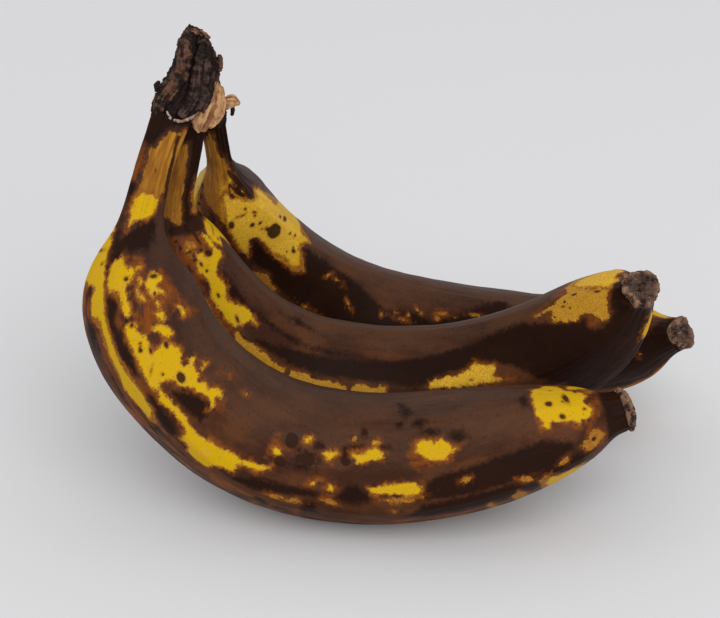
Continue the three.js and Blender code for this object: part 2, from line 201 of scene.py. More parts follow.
# Each fruit has the points of its centre line in mm, the side that 90 degrees faces, the turn of its
# ridges in radians, a profile of distance and radius in mm, and the plane on which its neck is pressed.
# Markings are closed outlines, written as distance from the neck in mm, degrees round, distance,
# degrees and so on, and ovals of distance, degrees, half length and half width in mm, and lean in
# degrees where they lean: 0 degrees faces out of the curve, 90 the front, 180 the inside, 270 the back.
frontFruit = {
    "line": [[-66.5, 12, 147], [-73.2, 9, 130], [-78.2, 2, 112], [-81.4, -9, 90], [-71.5, -12, 62],
             [-49, -12, 34], [-19, -15, 21], [15, -20, 22], [47, -25, 31], [76, -25, 40], [98, -21, 45]],
    "side": [0, -1, -0.25], "turn": 0.35,
    "profile": [[0, 6.9], [20, 6.4], [36, 6.8], [46, 9], [55, 15.8], [66, 21.2], [80, 22.2],
                [100, 23.2], [130, 24.4], [160, 24.6], [190, 24.4], [215, 23.2], [238, 20.4],
                [255, 16.2], [266, 11.8], [271, 7.6], [279, 7.4]],
    "press": {"point": [-63.6, 15.4, 144.7], "normal": [6, 6, -4], "reach": 14},
    "yellow": [
        # neck, and the pale shoulder with its ridge line
        [30, 72, 30, 110, 30.5, 122, 31.5, 130, 37, 119, 41.5, 68, 42.8, 66, 43.6, 60, 43.3, 56, 37, 47,
         34, 49, 32, 54, 30.5, 62],
        [42, 8, 44.5, 22, 48, 28, 48.3, 34, 58, 53, 66, 60.5, 70, 61.5, 74, 65, 83, 68, 92, 75, 95, 75.5,
         99, 74, 103, 63, 103, 59, 96, 57, 90.5, 52, 88, 54, 84, 55, 73, 55, 70.5, 53, 69, 50, 69, 38,
         64, 38, 62, 41, 60.5, 18, 59, 2, 54, -8, 43, -2],
        # upper block and its lacy islands
        [53.5, 59, 53.7, 65, 52.3, 70, 55.5, 80, 56, 85, 55.5, 91, 58, 92, 60, 90.5, 61.5, 87, 66, 90.5,
         69, 92, 69.5, 87, 69.3, 84, 65, 81.5, 63.5, 80, 62.3, 71, 62.5, 66, 61, 62, 58, 57.5],
        [55.2, 93.5, 56.5, 93, 57, 100, 55.5, 100.5, 54.8, 97], [57.5, 97, 61, 100, 61, 104, 59.5, 104],
        [57.5, 111, 60.5, 105, 64.5, 110, 65.5, 114, 64.5, 122, 66, 128, 64, 127, 61.5, 120, 61.5, 126,
         60.5, 128, 59, 127, 56.8, 117],
        [62.5, 98, 64, 98, 66, 103, 66, 106, 64.5, 106],
        [66.5, 116, 67.5, 115, 69, 118, 69.5, 121, 68, 122.5, 66.8, 120],
        [70, 113.5, 73, 117.5, 74, 121, 73, 123.5, 71, 123.5, 70, 120],
        [73.5, 108, 76, 108, 76.5, 112, 79.5, 121, 80, 125, 79, 127.5, 77.5, 126, 74, 119],
        [69.8, 136, 75, 141, 75.5, 143, 73, 146, 70.8, 141], [94.5, 140, 96, 138, 97, 140, 96.3, 143],
        # the big block, its arm and the long stripe
        [70.3, 85.5, 71, 84, 73, 83, 82, 87, 90, 85.5, 94, 90, 96, 88.5, 99, 88.5, 101, 90, 107, 91.5,
         110, 90.5, 112, 88, 112, 81, 116, 79, 117, 74, 121, 72, 125, 74.5, 127, 80, 127.5, 84, 130, 88,
         134, 90, 134.5, 94, 134, 98, 137, 101, 141, 102, 144, 105, 146, 108.5, 146, 110.5, 143, 110,
         134, 103.5, 130, 104, 127, 103, 125, 100, 112, 97, 105, 98.5, 93.5, 94.5, 92.5, 96, 92.7, 105,
         94.5, 107.5, 97, 108, 100, 118, 103, 119, 106.5, 123.5, 109, 123, 111, 117, 112, 119, 112, 123,
         111, 126, 109, 128, 109.5, 131, 112, 130, 112.3, 133, 111, 136, 109, 137, 107, 135.5, 105.3, 132,
         105, 129.5, 102, 131.5, 100, 126, 98.5, 127.5, 97.8, 130, 97.8, 137, 96.5, 137, 95.5, 134,
         97.5, 132, 96.5, 130, 94.5, 130.5, 92, 136.5, 90.5, 134, 90, 130, 91.8, 126, 91.5, 123.5, 90, 121.5,
         88.5, 124, 88.3, 127, 84.5, 126, 81.5, 119, 80.5, 115, 80.5, 112, 81.3, 109, 81.5, 100.5, 78, 102.5,
         76, 102, 75.5, 99.5, 73, 95, 71, 94, 71.5, 91, 70.5, 88.5],
        # islands of the belly
        [155.5, 144, 157, 142, 159, 143, 160.5, 147, 158, 147, 156.5, 146],
        [164.5, 137, 167.5, 131.5, 169, 131, 172, 139, 170, 140.5, 168, 140],
        [178.5, 131, 180, 129.5, 185, 134, 191, 136, 192, 140, 187.5, 146, 183, 141, 178, 139.5, 178.3, 136,
         179.3, 134],
        [186, 150, 187.5, 147.5, 190, 150, 188, 151.5],
        [184, 110, 185, 105.5, 187, 104, 192, 103.5, 198, 101, 201, 101, 203, 103.5, 203.5, 108, 202, 113,
         200, 114, 190, 112.5],
        [203, 139, 206.5, 135, 208, 131, 211, 129.5, 214, 130, 218, 138, 214, 149, 212, 148, 211, 146,
         210, 149.5, 207, 150, 204.5, 147],
        # the patch at the tip
        [246, 155, 248, 146, 247.5, 142, 248.3, 138, 249.5, 137, 250.8, 145, 252, 141, 256, 141.5,
         259, 132.5, 260.5, 137, 261.5, 134, 263, 140, 264, 147, 264.5, 153, 263, 166, 264, 173, 264.5, 182,
         263.5, 190, 262, 195, 259, 194, 255.5, 214, 253, 219, 251, 217, 249.5, 209, 247, 205, 246.2, 198,
         245.8, 185],
        [260, 199, 265, 215, 267, 226, 262, 232, 259, 218, 258.5, 205],
        # underneath
        [243, 5, 243, 70, 246, 82, 248, 70, 253, 71, 257, 55, 257, 5],
    ],
    "amber": [
        [4.5, 88, 13, 66, 13.5, 53, 21, 59, 38, 44, 44, 54, 44, 60, 41, 80, 39, 110, 34, 130, 29, 131,
         29, 143, 20, 190, 12, 200, 7, 180, 4, 160, 3.5, 140, 5, 115],
        [16, -10, 17, 12, 19, 20, 23, 20, 26, 8, 25, -14],
        [259, 91, 262, 88, 267, 98, 266.5, 106, 263.5, 118, 262, 117, 261, 111, 258.5, 108, 257.8, 100],
        [248.5, 91, 250, 88, 252, 91, 253, 97, 250.5, 96],
        [240, 5, 241.5, 80, 244, 86, 247, 78, 258, 66, 259, 5],
        [230.5, 5, 231, 70, 234, 78, 236, 62, 235, 5], [221.5, 5, 222, 66, 224, 71, 225.5, 5],
        [60, 37, 70, 40, 72, 50, 104, 58, 105, 68, 98, 77, 88, 76, 76, 68, 62, 60],
        [176, 4, 184, 14, 200, 18, 214, 12, 206, -4, 188, -10],
        [262, 205, 266, 190, 268, 215, 269, 240, 262, 262, 252, 262],
    ],
    "rust": [
        [14, 20, 19, 47, 27.5, 36, 27, 20, 24, 0, 15, 0],
        [51.5, 82, 54, 105, 57, 108, 58, 131, 65, 141, 72, 149, 76, 160, 77, 158, 76, 150, 67, 128, 70, 124,
         74, 124, 72, 112, 76, 107, 75, 100, 57, 93],
        [66.5, 78, 70, 73, 72, 77, 72, 82, 69, 83], [86, 72, 94, 76, 94.5, 80, 93, 85, 89, 84, 87, 80],
        [102, 142, 109, 149, 108, 155, 103, 147],
        [141.5, 113, 143.5, 118, 144, 128, 152, 130, 146, 134, 143.5, 140, 141.5, 137, 141, 128],
        [188, 101, 200, 94, 207, 106, 205, 111, 202, 101],
        [165, 93, 173, 93, 172, 97, 175, 109, 168, 110, 166, 106, 168, 100],
        [201, 127, 203, 123, 206, 128, 211, 127, 215, 130, 222, 143, 219, 142, 213, 151, 206, 152, 202, 146,
         200, 138],
        [260, 112, 269, 150, 268.5, 185, 265, 180, 265, 150], [110, 126, 114, 120, 116, 128, 113, 136],
        [144.5, 5, 145, 58, 147, 64, 147.5, 5], [157, 5, 157.5, 66, 160, 79, 161, 5],
        [149.5, 5, 150, 66, 151, 73, 151.5, 5], [62, 38, 74, 42, 90, 44, 104, 42, 106, 56, 72, 54],
    ],
    "black": [
        [-3, -30, 3, -30, 12, 20, 13, 50, 3, 95, 2, 150, 6, 330, -3, 330],
        [27.5, -10, 28, 45, 37, 42, 31, 22, 31, -10],
        [38, 118, 41, 82, 48, 56, 44, 33, 48, 34, 62, 60, 64, 80, 51, 72, 52, 84, 50, 96, 50, 110, 46, 120,
         41, 128],
        [53, 46, 66, 61.5, 84, 71, 87, 80, 84, 84, 78, 84, 73, 83, 72, 75, 70, 72.5, 65, 79, 62, 63],
        [93.5, 80, 106, 71, 110, 73, 112, 78, 107, 86, 95, 88], [57.5, 93, 62, 88.5, 68, 93.5, 66, 96],
        [127, 82, 143, 85, 165, 97, 166, 101, 162, 103, 144, 97, 136, 88, 131, 88],
        [171, 97, 180, 95, 184, 97, 185, 102, 180, 112, 177, 112],
        [201, 95, 233, 92, 247, 93, 254, 105, 255, 112, 248, 126, 225, 120, 210, 115, 206, 111],
        [196, 76, 232, 58, 262, 84, 256, 96, 232, 92, 214, 92, 202, 90],
        [241.5, 182, 243, 168, 245, 165, 245, 194], [200, 171, 202, 176, 202, 183, 196, 196, 195, 195],
        [268, -20, 267.5, 90, 270, 260, 268, 340, 282, 340, 282, -20], [160, 76, 166, 78, 165, 92, 161, 91],
        [250, 66, 257, 68, 258, 84, 250, 84], [96, 98, 112, 104, 112, 116, 106, 122, 100, 116],
        [60, 270, 90, 282, 140, 290, 200, 286, 230, 300, 180, 316, 110, 312, 66, 300],
    ],
    "spots": [
        # painted shade: this outline is the dark stripe down the crease where this neck meets the middle
        # neck
        [6, 122, 18, 133, 24, 139, 31, 150, 30, 160, 22, 154, 6, 136],
    ],
    "ovals": {
        "yellow": [(145.7, 125, 2.0, 1.4), (170, 107, 1.5, 1.6), (163.8, 109, 1.4, 0.7, 30)],
        "amber": [(179, 152.5, 1.6, 1.2), (218.7, 107, 1.6, 1.2, 20), (119, 150, 1.0, 0.8),
            (150.5, 86, 2.2, 0.9, 10), (157, 88, 3.4, 1.1, 12), (238, 91, 2.4, 0.9, -15),
            (170, 94.5, 2.6, 1.1), (192.5, 87, 1.0, 0.9), (196, 98, 6, 1.4)],
        "black": [(180, 144, 3.4, 1.5), (163, 142, 2.6, 1.5), (191, 145, 2.2, 1.1), (174.5, 139, 2.0, 1.6),
            (182.5, 157, 1.5, 1.5), (210, 155, 2.6, 1.5), (219, 149, 2.6, 1.7), (206, 165, 2.6, 1.5),
            (198, 165, 1.4, 1.0), (147, 70, 2.0, 2.2), (157, 120.5, 2.4, 0.7), (155, 127, 0.8, 2.0),
            (159, 133, 2.8, 0.7, 10), (164, 128, 0.8, 2.2), (114, 76.5, 2.2, 0.9), (71, 43, 1.4, 1.6),
            (63, 33, 1.2, 1.6), (62.5, 103, 0.8, 1.6), (104, 88, 2.6, 0.8)],
        "spots": [(150.3, 139, 3.2, 2.9), (159.2, 128, 3.6, 2.6), (148.4, 118, 2.6, 2.0),
            (164.1, 142, 2.2, 1.2), (175.4, 132, 2.3, 1.5), (183.1, 158, 1.2, 1.2), (94.5, 114.5, 2.2, 1.6),
            (81.7, 116, 1.1, 0.8), (79.6, 92.5, 0.8, 0.8), (77.5, 94, 0.4, 0.5),
            (86.7, 94.5, 0.9, 0.25, -40), (90, 101.5, 0.5, 0.5), (71.7, 90.5, 0.6, 0.6), (59, 85, 0.6, 0.8),
            (58.8, 116, 0.6, 1.5), (64.2, 116, 0.7, 0.6), (70, 86.3, 0.8, 0.7), (81, 100.5, 1.0, 0.5),
            (55.3, 40, 0.5, 0.7), (51.7, 20, 0.5, 2.0), (46.5, 14, 0.4, 1.6), (251.2, 167.5, 1.2, 1.2),
            (254.3, 148.5, 0.8, 0.9), (257, 175, 0.8, 2.4, 8), (255.8, 169, 0.4, 0.5), (262, 154, 0.5, 0.5),
            (261, 193, 0.5, 0.8), (252.7, 198, 0.5, 0.5), (15, 136, 2.6, 0.5, 10), (20, 145, 3.2, 0.6, 12),
            (21, 91, 1.0, 0.3, 20), (262.5, 103, 0.7, 0.7), (260.5, 108, 0.5, 0.5)],
    },
}

middleFruit = {
    "line": [[-61, 18, 143], [-63.5, 20, 125], [-69, 23, 106], [-66, 26, 86], [-57, 31, 63],
             [-43, 37, 41], [-16, 40, 25], [20, 38, 22], [52, 31, 31], [78.5, 24, 47.5], [95, 12, 69],
             [102, -4, 86]],
    "side": [0, -1, 0.35], "turn": 0.3,
    "profile": [[0, 5.8], [20, 5.8], [37, 5.9], [45, 9.5], [53, 14.5], [64, 16.6], [82, 18.9],
                [105, 21.4], [140, 22.2], [180, 22.2], [210, 21.8], [236, 21.4], [257, 19.6],
                [273, 14.8], [282, 10.4], [287, 7], [294, 6.8]],
    "press": {"point": [-63.6, 15.4, 144.7], "normal": [-6, -6, 4], "reach": 14},
    "yellow": [
        [52, 112, 53, 110, 55.5, 108.5, 57, 104, 60, 103, 61, 106.5, 64, 108.5, 69, 103.5, 68.3, 101,
         75, 98.5, 87, 99.5, 88, 103, 90, 118, 93.5, 119, 94, 120.5, 89.5, 123, 88.5, 126.5, 86.5, 127.5,
         84, 126, 76, 114.5, 74, 117, 71.5, 125, 69.5, 126, 67.5, 124, 65, 124, 61, 134, 60, 146, 58, 148,
         53, 147.5, 49, 150, 46.5, 147, 46.8, 141, 51, 139, 54.5, 140, 56.3, 131, 56.3, 125.5, 55, 124,
         53.3, 125],
        [45.5, 156, 47.5, 149.5, 52, 149, 56, 155, 55, 162, 54, 166, 56, 172, 64, 185, 66, 195, 64, 205,
         55, 210, 48, 205, 45, 172],
        [187.5, 94, 188.5, 99, 190, 102, 192.5, 101.5, 197, 105.5, 198.5, 103, 200, 103, 206, 107,
         210, 113.5, 211, 111, 218.5, 107, 219, 103, 216, 96, 222, 90],
        [269, 172, 284, 168, 287, 188, 282.5, 203, 282, 232, 277, 240, 272, 222, 268, 205, 266, 192,
         265, 182],
        [70, 20, 80, 12, 100, 16, 112, 26, 98, 34, 78, 32],
        [274, -12, 274, 20, 277, 25, 280, 22, 283, 12, 283, -6, 279, -16],
    ],
    "gold": [
        [250, 110, 290, 90, 294, 250, 262, 250, 248, 180], [184, 90, 186, 106, 214, 118, 224, 100, 220, 88],
        [84, 76, 84, 96, 100, 104, 172, 100, 172, 76],
    ],
    "amber": [
        [8, 82, 22, 30, 32, 20, 39, 30, 39.5, 75, 41.5, 98, 41.3, 104, 40, 110, 37.5, 114, 25, 119, 10, 104,
         8, 98],
        [22, 151, 33, 150, 38, 148, 42, 200, 32, 215, 26, 200],
        [255, 133, 260.5, 129, 262, 123, 263.5, 128, 266.5, 120, 269, 128, 272, 127, 275, 124, 277.5, 103,
         279, 101, 280.5, 104, 281.5, 120, 284.5, 155, 285.5, 165, 286, 178, 287, 188, 282.5, 203, 282, 234,
         276, 242, 268, 222, 263, 205, 261, 180, 265, 164, 258, 152, 247, 146, 246, 144, 249, 143,
         254.5, 148, 256.5, 145],
        [46, 60, 52, 75, 60, 92, 70, 95, 86, 90, 86, 80, 70, 78],
        [46.5, 104, 50.5, 97, 54.5, 104, 51.8, 112, 51.5, 118, 50, 122, 48, 120],
        [88, 98.5, 90, 100, 93, 97.5, 98, 99.5, 108, 96.5, 119, 91.5, 119, 84, 92, 88],
        [121.5, 84, 122, 92, 129, 93.5, 134, 91, 139, 93.5, 149.5, 91.5, 149.5, 84, 135, 82],
        [151.5, 85, 152, 92, 155, 95.5, 162, 93.5, 165, 96.5, 167.5, 94, 168, 88],
        [180, 4, 200, 12, 222, 10, 236, -4, 214, -12, 190, -10],
    ],
    "rust": [
        [40, 40, 45.3, 60, 45.2, 120, 48, 138, 52, 134, 54, 130, 52, 112, 53, 105, 58, 99, 86, 98, 88, 92,
         70, 88, 58, 80, 44, 40],
        [174.5, 92, 177, 97.5, 178, 96, 176.5, 92], [10, 80, 16, 70, 18, 84, 12, 96],
        [209, 112, 214, 111, 213, 120, 214, 126, 211, 124], [229, 99, 238, 95, 233, 99.5],
        [252, 128, 256, 129, 256, 140, 253, 139], [250, 150, 263, 158, 258, 158],
        [269.5, 106, 276, 103, 276, 118, 273, 120, 271, 118, 271.5, 112],
        [256, 160, 262, 158, 265, 165, 263, 185, 263, 205, 258, 195],
        [281, 105, 283, 106, 283, 113, 285, 126, 286, 160, 284.5, 158], [216, 90, 226, 88, 226, 91, 217, 94],
        [166, 94, 169, 93, 169, 97.5, 166.5, 98.5],
    ],
    "black": [
        [-3, -30, 6, -30, 10, 60, 6, 92, 7, 112, 33, 118, 38, 116, 41, 110, 42.3, 100, 41, 80, 43, 80,
         46.5, 130, 46.8, 145, 44.5, 165, 46, 215, 41, 215, 38, 148, 34, 147, 22, 146, 8, 200, 8, 330,
         -3, 330],
        [61, 100.5, 67.5, 102, 64.5, 108, 62, 108], [80, 94.5, 85, 96, 82, 99],
        [64, 128, 76, 117, 86, 129, 104, 125, 126, 119, 124, 123, 112, 127, 100, 129, 72, 134, 66, 133],
        [96, 103, 110, 101, 120, 97, 168, 99, 175, 96, 187, 97, 191, 104, 197, 108, 216, 112, 224, 106,
         232, 92, 243, 60, 244, 20, 262, 0, 292, -20, 287, 160, 285, 150, 283, 122, 283, 106, 279, 98,
         272, 99, 269, 110, 271, 120, 248, 136, 238, 142, 222, 140, 184, 124, 120, 114, 104, 108],
        [287, 120, 286, 165, 288, 190, 284, 240, 284, 330, 296, 330, 296, 60],
        [60, 300, 90, 290, 150, 286, 210, 292, 230, 306, 160, 320, 90, 318],
    ],
    "ovals": {
        "yellow": [(49, 108, 1.2, 0.7, 30), (50.6, 102, 0.9, 0.5), (50, 116, 1.0, 0.6, -20),
            (47.8, 113, 0.6, 0.5)],
        "amber": [(206, 96, 8, 1.2)],
        "black": [(115, 144, 8, 0.9, -6), (140, 122, 12, 0.8)],
        "spots": [(43.2, 148, 2.7, 4.2), (43.2, 91, 1.5, 3.4), (57.2, 112.5, 1.1, 0.7),
            (60.8, 114.5, 0.6, 0.6), (72.3, 109, 1.1, 0.6), (85.3, 108.5, 2.0, 0.8, -25),
            (55, 131, 1.2, 1.6, -50), (53, 107.5, 0.8, 0.5), (51.3, 105, 0.4, 2.4), (48.8, 92, 0.8, 0.6),
            (46.5, 87, 0.6, 0.8), (56.5, 94, 1.3, 0.3), (48, 128, 2.6, 0.5), (52.4, 123, 0.7, 0.9),
            (93, 99, 1.2, 0.5), (103, 97, 0.8, 0.4), (207, 97, 0.8, 0.4), (262.5, 146, 1.4, 0.6),
            (264, 151.5, 0.7, 0.5), (266, 142, 0.6, 0.5), (269, 159, 1.5, 0.7), (280, 157, 1.3, 0.6),
            (274, 167, 0.7, 0.4), (257, 137, 0.7, 0.6), (53, 159, 0.5, 0.4), (50, 168, 0.3, 1.6, 10)],
    },
}

backFruit = {
    "line": [[-53.6, 26, 139], [-52, 33, 122.5], [-51.5, 50, 99], [-49.5, 72.4, 75],
             [-34, 88, 47.2], [-12, 97.6, 27.2], [15, 98.6, 16.8], [46, 84.4, 18.6], [77, 70, 23.2],
             [105.5, 53.5, 31.5], [125, 37, 46]],
    "side": [0, -1, 0.1], "turn": 0.3,
    "profile": [[0, 4.6], [15, 4], [27, 4.8], [36, 7.6], [48, 13], [62, 17.2], [80, 19.8],
                [105, 21.7], [140, 22.3], [180, 22], [215, 21.5], [245, 20.5], [268, 18.3],
                [284, 13.8], [293, 7.8], [302, 6]],
    "press": None,
    "yellow": [
        [35, 98, 38, 91, 48, 93, 61, 98, 67, 99, 70, 102, 61, 113, 61, 119, 63, 124, 68, 127, 80, 124,
         88, 128, 92, 127, 96, 123, 100, 126, 101, 131, 97, 142, 94, 145, 93.5, 149, 96, 154, 101, 157,
         102, 160, 99, 163, 95, 163, 93.5, 166, 96, 180, 97, 190, 99, 199, 96, 215, 84, 216, 75, 193,
         70, 186, 65, 180, 58, 184, 50, 187, 47, 183, 45, 177, 44.5, 172, 47, 168, 42, 138, 40, 131,
         39, 120],
        [24, 126, 27, 120, 31, 114, 34, 117, 30, 141, 23.5, 140],
        [27, -20, 31, 4, 41, 20, 45, 27, 48, 27, 50, 33, 54, 36, 57, 42, 61, 40, 64, 20, 64, -10, 56, -40,
         44, -50, 32, -45],
        [285, 222, 289, 206, 293, 200, 297, 205, 298, 216, 291, 240, 286, 236],
        [256, 6, 268, 19, 282, 20, 294, 11, 290, -6, 268, -8],
    ],
    "gold": [
        [30, 80, 58, 88, 90, 112, 97, 130, 94, 150, 90, 166, 74, 176, 56, 186, 42, 180, 28, 110],
    ],
    "amber": [
        [8, 30, 14, 10, 22, 0, 32, 10, 38, 30, 42, 48, 44, 74, 48, 88, 55, 94, 72, 99, 68, 104, 66, 110,
         62, 113, 61, 119, 62, 124, 66, 129, 72, 127, 84, 120, 90, 122, 99, 119, 106, 127, 99, 143, 96, 147,
         97, 152, 103, 158, 100, 166, 96, 170, 98, 190, 101, 205, 96, 222, 82, 222, 76, 200, 52, 190,
         45, 184, 43, 170, 45, 160, 37, 126, 34, 124, 29, 148, 17, 126, 16, 100, 4, 86, 2, 70],
        [80, 88, 88, 101, 100, 92, 96, 86],
        [24, -24, 30, 14, 37, 22, 43, 30, 58, 54, 66, 50, 70, 30, 68, -20, 54, -50, 34, -52],
        [250, -4, 260, 15, 272, 25, 286, 25, 298, 15, 292, -12, 270, -16],
    ],
    "rust": [
        [5, 52, 14, 44, 24, 50, 31, 62, 34, 96, 28, 100, 4, 82],
        [34, 26, 32, 84, 50, 84, 60, 70, 60, 54, 42, 30],
        [33, 55, 40, 60, 47, 90, 55, 96, 70, 102, 60, 100, 46, 100, 34, 88],
        [60, 118, 66, 129, 79, 130, 80, 149, 82, 140, 82, 130, 80, 124, 98, 119, 70, 124],
        [47.5, 162, 55, 164, 50, 167], [96, 146, 99, 146, 100, 151, 98, 153],
        [116, 134, 122, 131, 130, 132, 132, 137, 130, 142, 120, 142],
        [170, 121, 181, 116, 184, 124, 182, 132, 172, 126],
        [195, 130, 200, 133, 204, 131, 205, 136, 198, 140, 195, 136],
    ],
    "black": [
        [-3, -30, 3, -30, 5, 50, 2, 70, 3, 85, 15, 100, 16.5, 108, 15, 123, 17, 135, 28, 155, 38, 176,
         45, 190, 20, 215, 6, 250, 6, 330, -3, 330],
        [33.5, 126, 38.5, 127, 45, 170, 30, 160, 30, 142], [31.5, 70, 35.5, 99, 31, 80],
        [40, 72, 50, 92, 64, 95.5, 70, 96, 50, 89],
        # near-black skin of the side facing the front, deepened as painted shade of the valley between the
        # back and middle fruits
        [62, 118, 76, 98, 89, 102.5, 94, 97, 112, 92, 122, 84, 150, 80, 230, 90, 236, 130, 226, 160,
         216, 150, 196, 124, 186, 130, 176, 130, 166, 122, 136, 144, 103, 151.5, 95, 148, 100, 141, 107, 126,
         104, 122, 97, 118, 90, 121, 72, 121, 67, 126],
        [68, 142, 69, 136, 75, 132.5, 79.3, 138, 79, 145, 78, 150, 71, 152, 68.3, 151],
        [236, 140, 250, 60, 268, 34, 306, 20, 306, 250, 298, 240, 295.5, 150, 292, 130, 288, 150, 284, 200,
         262, 190],
        [50, 260, 90, 248, 150, 250, 190, 272, 150, 282, 90, 276],
    ],
    "spots": [
        [24, 122, 27, 124, 33, 140, 42, 152, 44, 164, 43, 174, 38, 170, 33, 162, 29, 150, 25, 138],
        [31, 112, 37, 110, 38, 116, 36.5, 121, 36, 114, 33.5, 114, 33.5, 121, 36, 126, 35, 129, 31.5, 124],
        [35, 131, 38, 131, 40.5, 140, 39.5, 144],
    ],
    "ovals": {
        "yellow": [(285, 220, 5, 1.4)],
        "amber": [(34, 137, 0.7, 0.9), (37.5, 149, 1.4, 1.0), (121, 137.5, 1.9, 0.7, 20),
            (128, 136, 2.4, 0.6, -10), (140.5, 116, 2.2, 0.7, -30), (117.5, 95, 2.6, 0.4),
            (164, 117, 0.9, 0.8), (173.5, 123.5, 2.4, 0.7, 15), (179.5, 119, 2.0, 0.6),
            (182.5, 126, 1.0, 0.9), (187, 133, 2.0, 0.6, -12), (197.5, 128, 1.0, 0.8),
            (199.5, 135.5, 2.6, 0.8, 10), (205, 133, 1.0, 0.6), (214.5, 139, 2.4, 0.8), (288, 94, 0.8, 0.7)],
        "black": [(31.5, 58, 1.6, 0.5, -40), (41, 58, 1.6, 0.4), (36.5, 64, 2.6, 1.2, 20),
            (39, 70, 1.0, 0.9), (47, 66, 2.4, 0.6, 10), (52, 60, 1.8, 0.6)],
        "spots": [(68.7, 146, 5.4, 3.0), (49.4, 98, 1.5, 1.0, -12), (54.3, 129, 1.1, 1.0),
            (63.5, 142, 1.9, 0.8), (87.5, 134, 0.6, 0.5), (91.6, 139, 1.7, 0.8), (90, 142, 0.6, 0.5),
            (87.5, 155.5, 1.0, 0.7, 20), (49.5, 143, 0.9, 0.5, 25), (51, 140.5, 0.5, 0.5),
            (70, 167, 1.6, 0.6, 15), (76.5, 169, 2.8, 1.0, 20), (46.8, 114, 0.5, 1.0), (56.5, 140, 0.7, 0.8),
            (47.5, 122, 0.4, 1.2), (45.5, 132, 0.7, 0.6), (60.5, 137, 0.5, 0.5), (82.5, 154, 0.8, 0.5, 10),
            (38, 118, 0.5, 1.0), (35.7, 20, 1.8, 0.5, 30), (44.7, 30, 0.7, 0.9), (40.5, 6, 0.6, 0.4)],
    },
}


def fruitRadius(fruit, s):
    # B-spline through the profile's [distance, radius] rows, read off at each distance
    profile = splinePoint(fruit["profile"], np.linspace(0, 1, 1200))
    return np.interp(s, profile[:, 0], profile[:, 1])


def fruitFrame(fruit, s):
    # centre, tangent, side and outward direction of the section at each distance from the neck,
    # the tangent taken over a short chord
    lineAt, length = lineByLength(fruit["line"])
    chord = skinShape["chord"]
    tangent = unit(lineAt(np.minimum(s + chord, length)) - lineAt(np.maximum(s - chord, 0)))
    side = np.array(fruit["side"], float)
    side = unit(side - (tangent @ side)[:, None] * tangent)
    return lineAt(s), tangent, side, np.cross(tangent, side)


def ovalDepth(mark, s, angle, radius):
    # mm inside an oval: its smaller half size times one minus the distance in half sizes
    along, degrees, halfLength, halfWidth, lean = (*mark, 0)[:5]
    ds = s - along
    arc = ((angle - math.radians(degrees) + math.pi) % fullTurn - math.pi) * radius
    c, n = math.cos(math.radians(lean)), math.sin(math.radians(lean))
    reach = np.hypot((ds * c + arc * n) / halfLength, (arc * c - ds * n) / halfWidth)
    return (1 - reach) * min(halfLength, halfWidth)


def outlineDepth(outline, s, angle, radius):
    # mm inside a closed outline: the distance to its nearest side, positive where a ray to the
    # right crosses the sides an odd number of times
    along, degrees = np.array(outline, float).reshape(-1, 2).T
    middle = math.radians((degrees.min() + degrees.max()) / 2)
    turn = (angle - middle + math.pi) % fullTurn - math.pi
    corners = np.radians(degrees) - middle
    farthest = skinShape["farthest"]
    near = ((s > along.min() - farthest) & (s < along.max() + farthest)
            & (turn * radius > corners.min() * radius - farthest)
            & (turn * radius < corners.max() * radius + farthest))
    depth = np.full(s.shape, -farthest)
    x, y, r = s[near][:, None], (turn * radius)[near][:, None], radius[near][:, None]
    x1, y1 = along[None], corners[None] * r
    x2, y2 = np.roll(x1, -1, 1), np.roll(y1, -1, 1)
    share = ((x - x1) * (x2 - x1) + (y - y1) * (y2 - y1)) / ((x2 - x1) ** 2 + (y2 - y1) ** 2)
    share = np.clip(share, 0, 1)
    gap = np.hypot(x - x1 - share * (x2 - x1), y - y1 - share * (y2 - y1)).min(1)
    rise = np.where(y2 == y1, 1, y2 - y1)
    crossing = ((y1 > y) != (y2 > y)) & (x < x1 + (y - y1) / rise * (x2 - x1))
    depth[near] = np.where(crossing.sum(1) % 2 == 1, gap, -gap)
    return depth


def markDepth(fruit, label, s, angle, radius):
    # the deepest of all the outlines and ovals with this label, kept between two limits
    farthest = skinShape["farthest"]
    depth = np.full(s.shape, -farthest)
    for outline in fruit.get(label, []):
        depth = np.maximum(depth, outlineDepth(outline, s, angle, radius))
    for mark in fruit["ovals"].get(label, []):
        depth = np.maximum(depth, ovalDepth(mark, s, angle, radius))
    return np.clip(depth, -farthest, farthest)


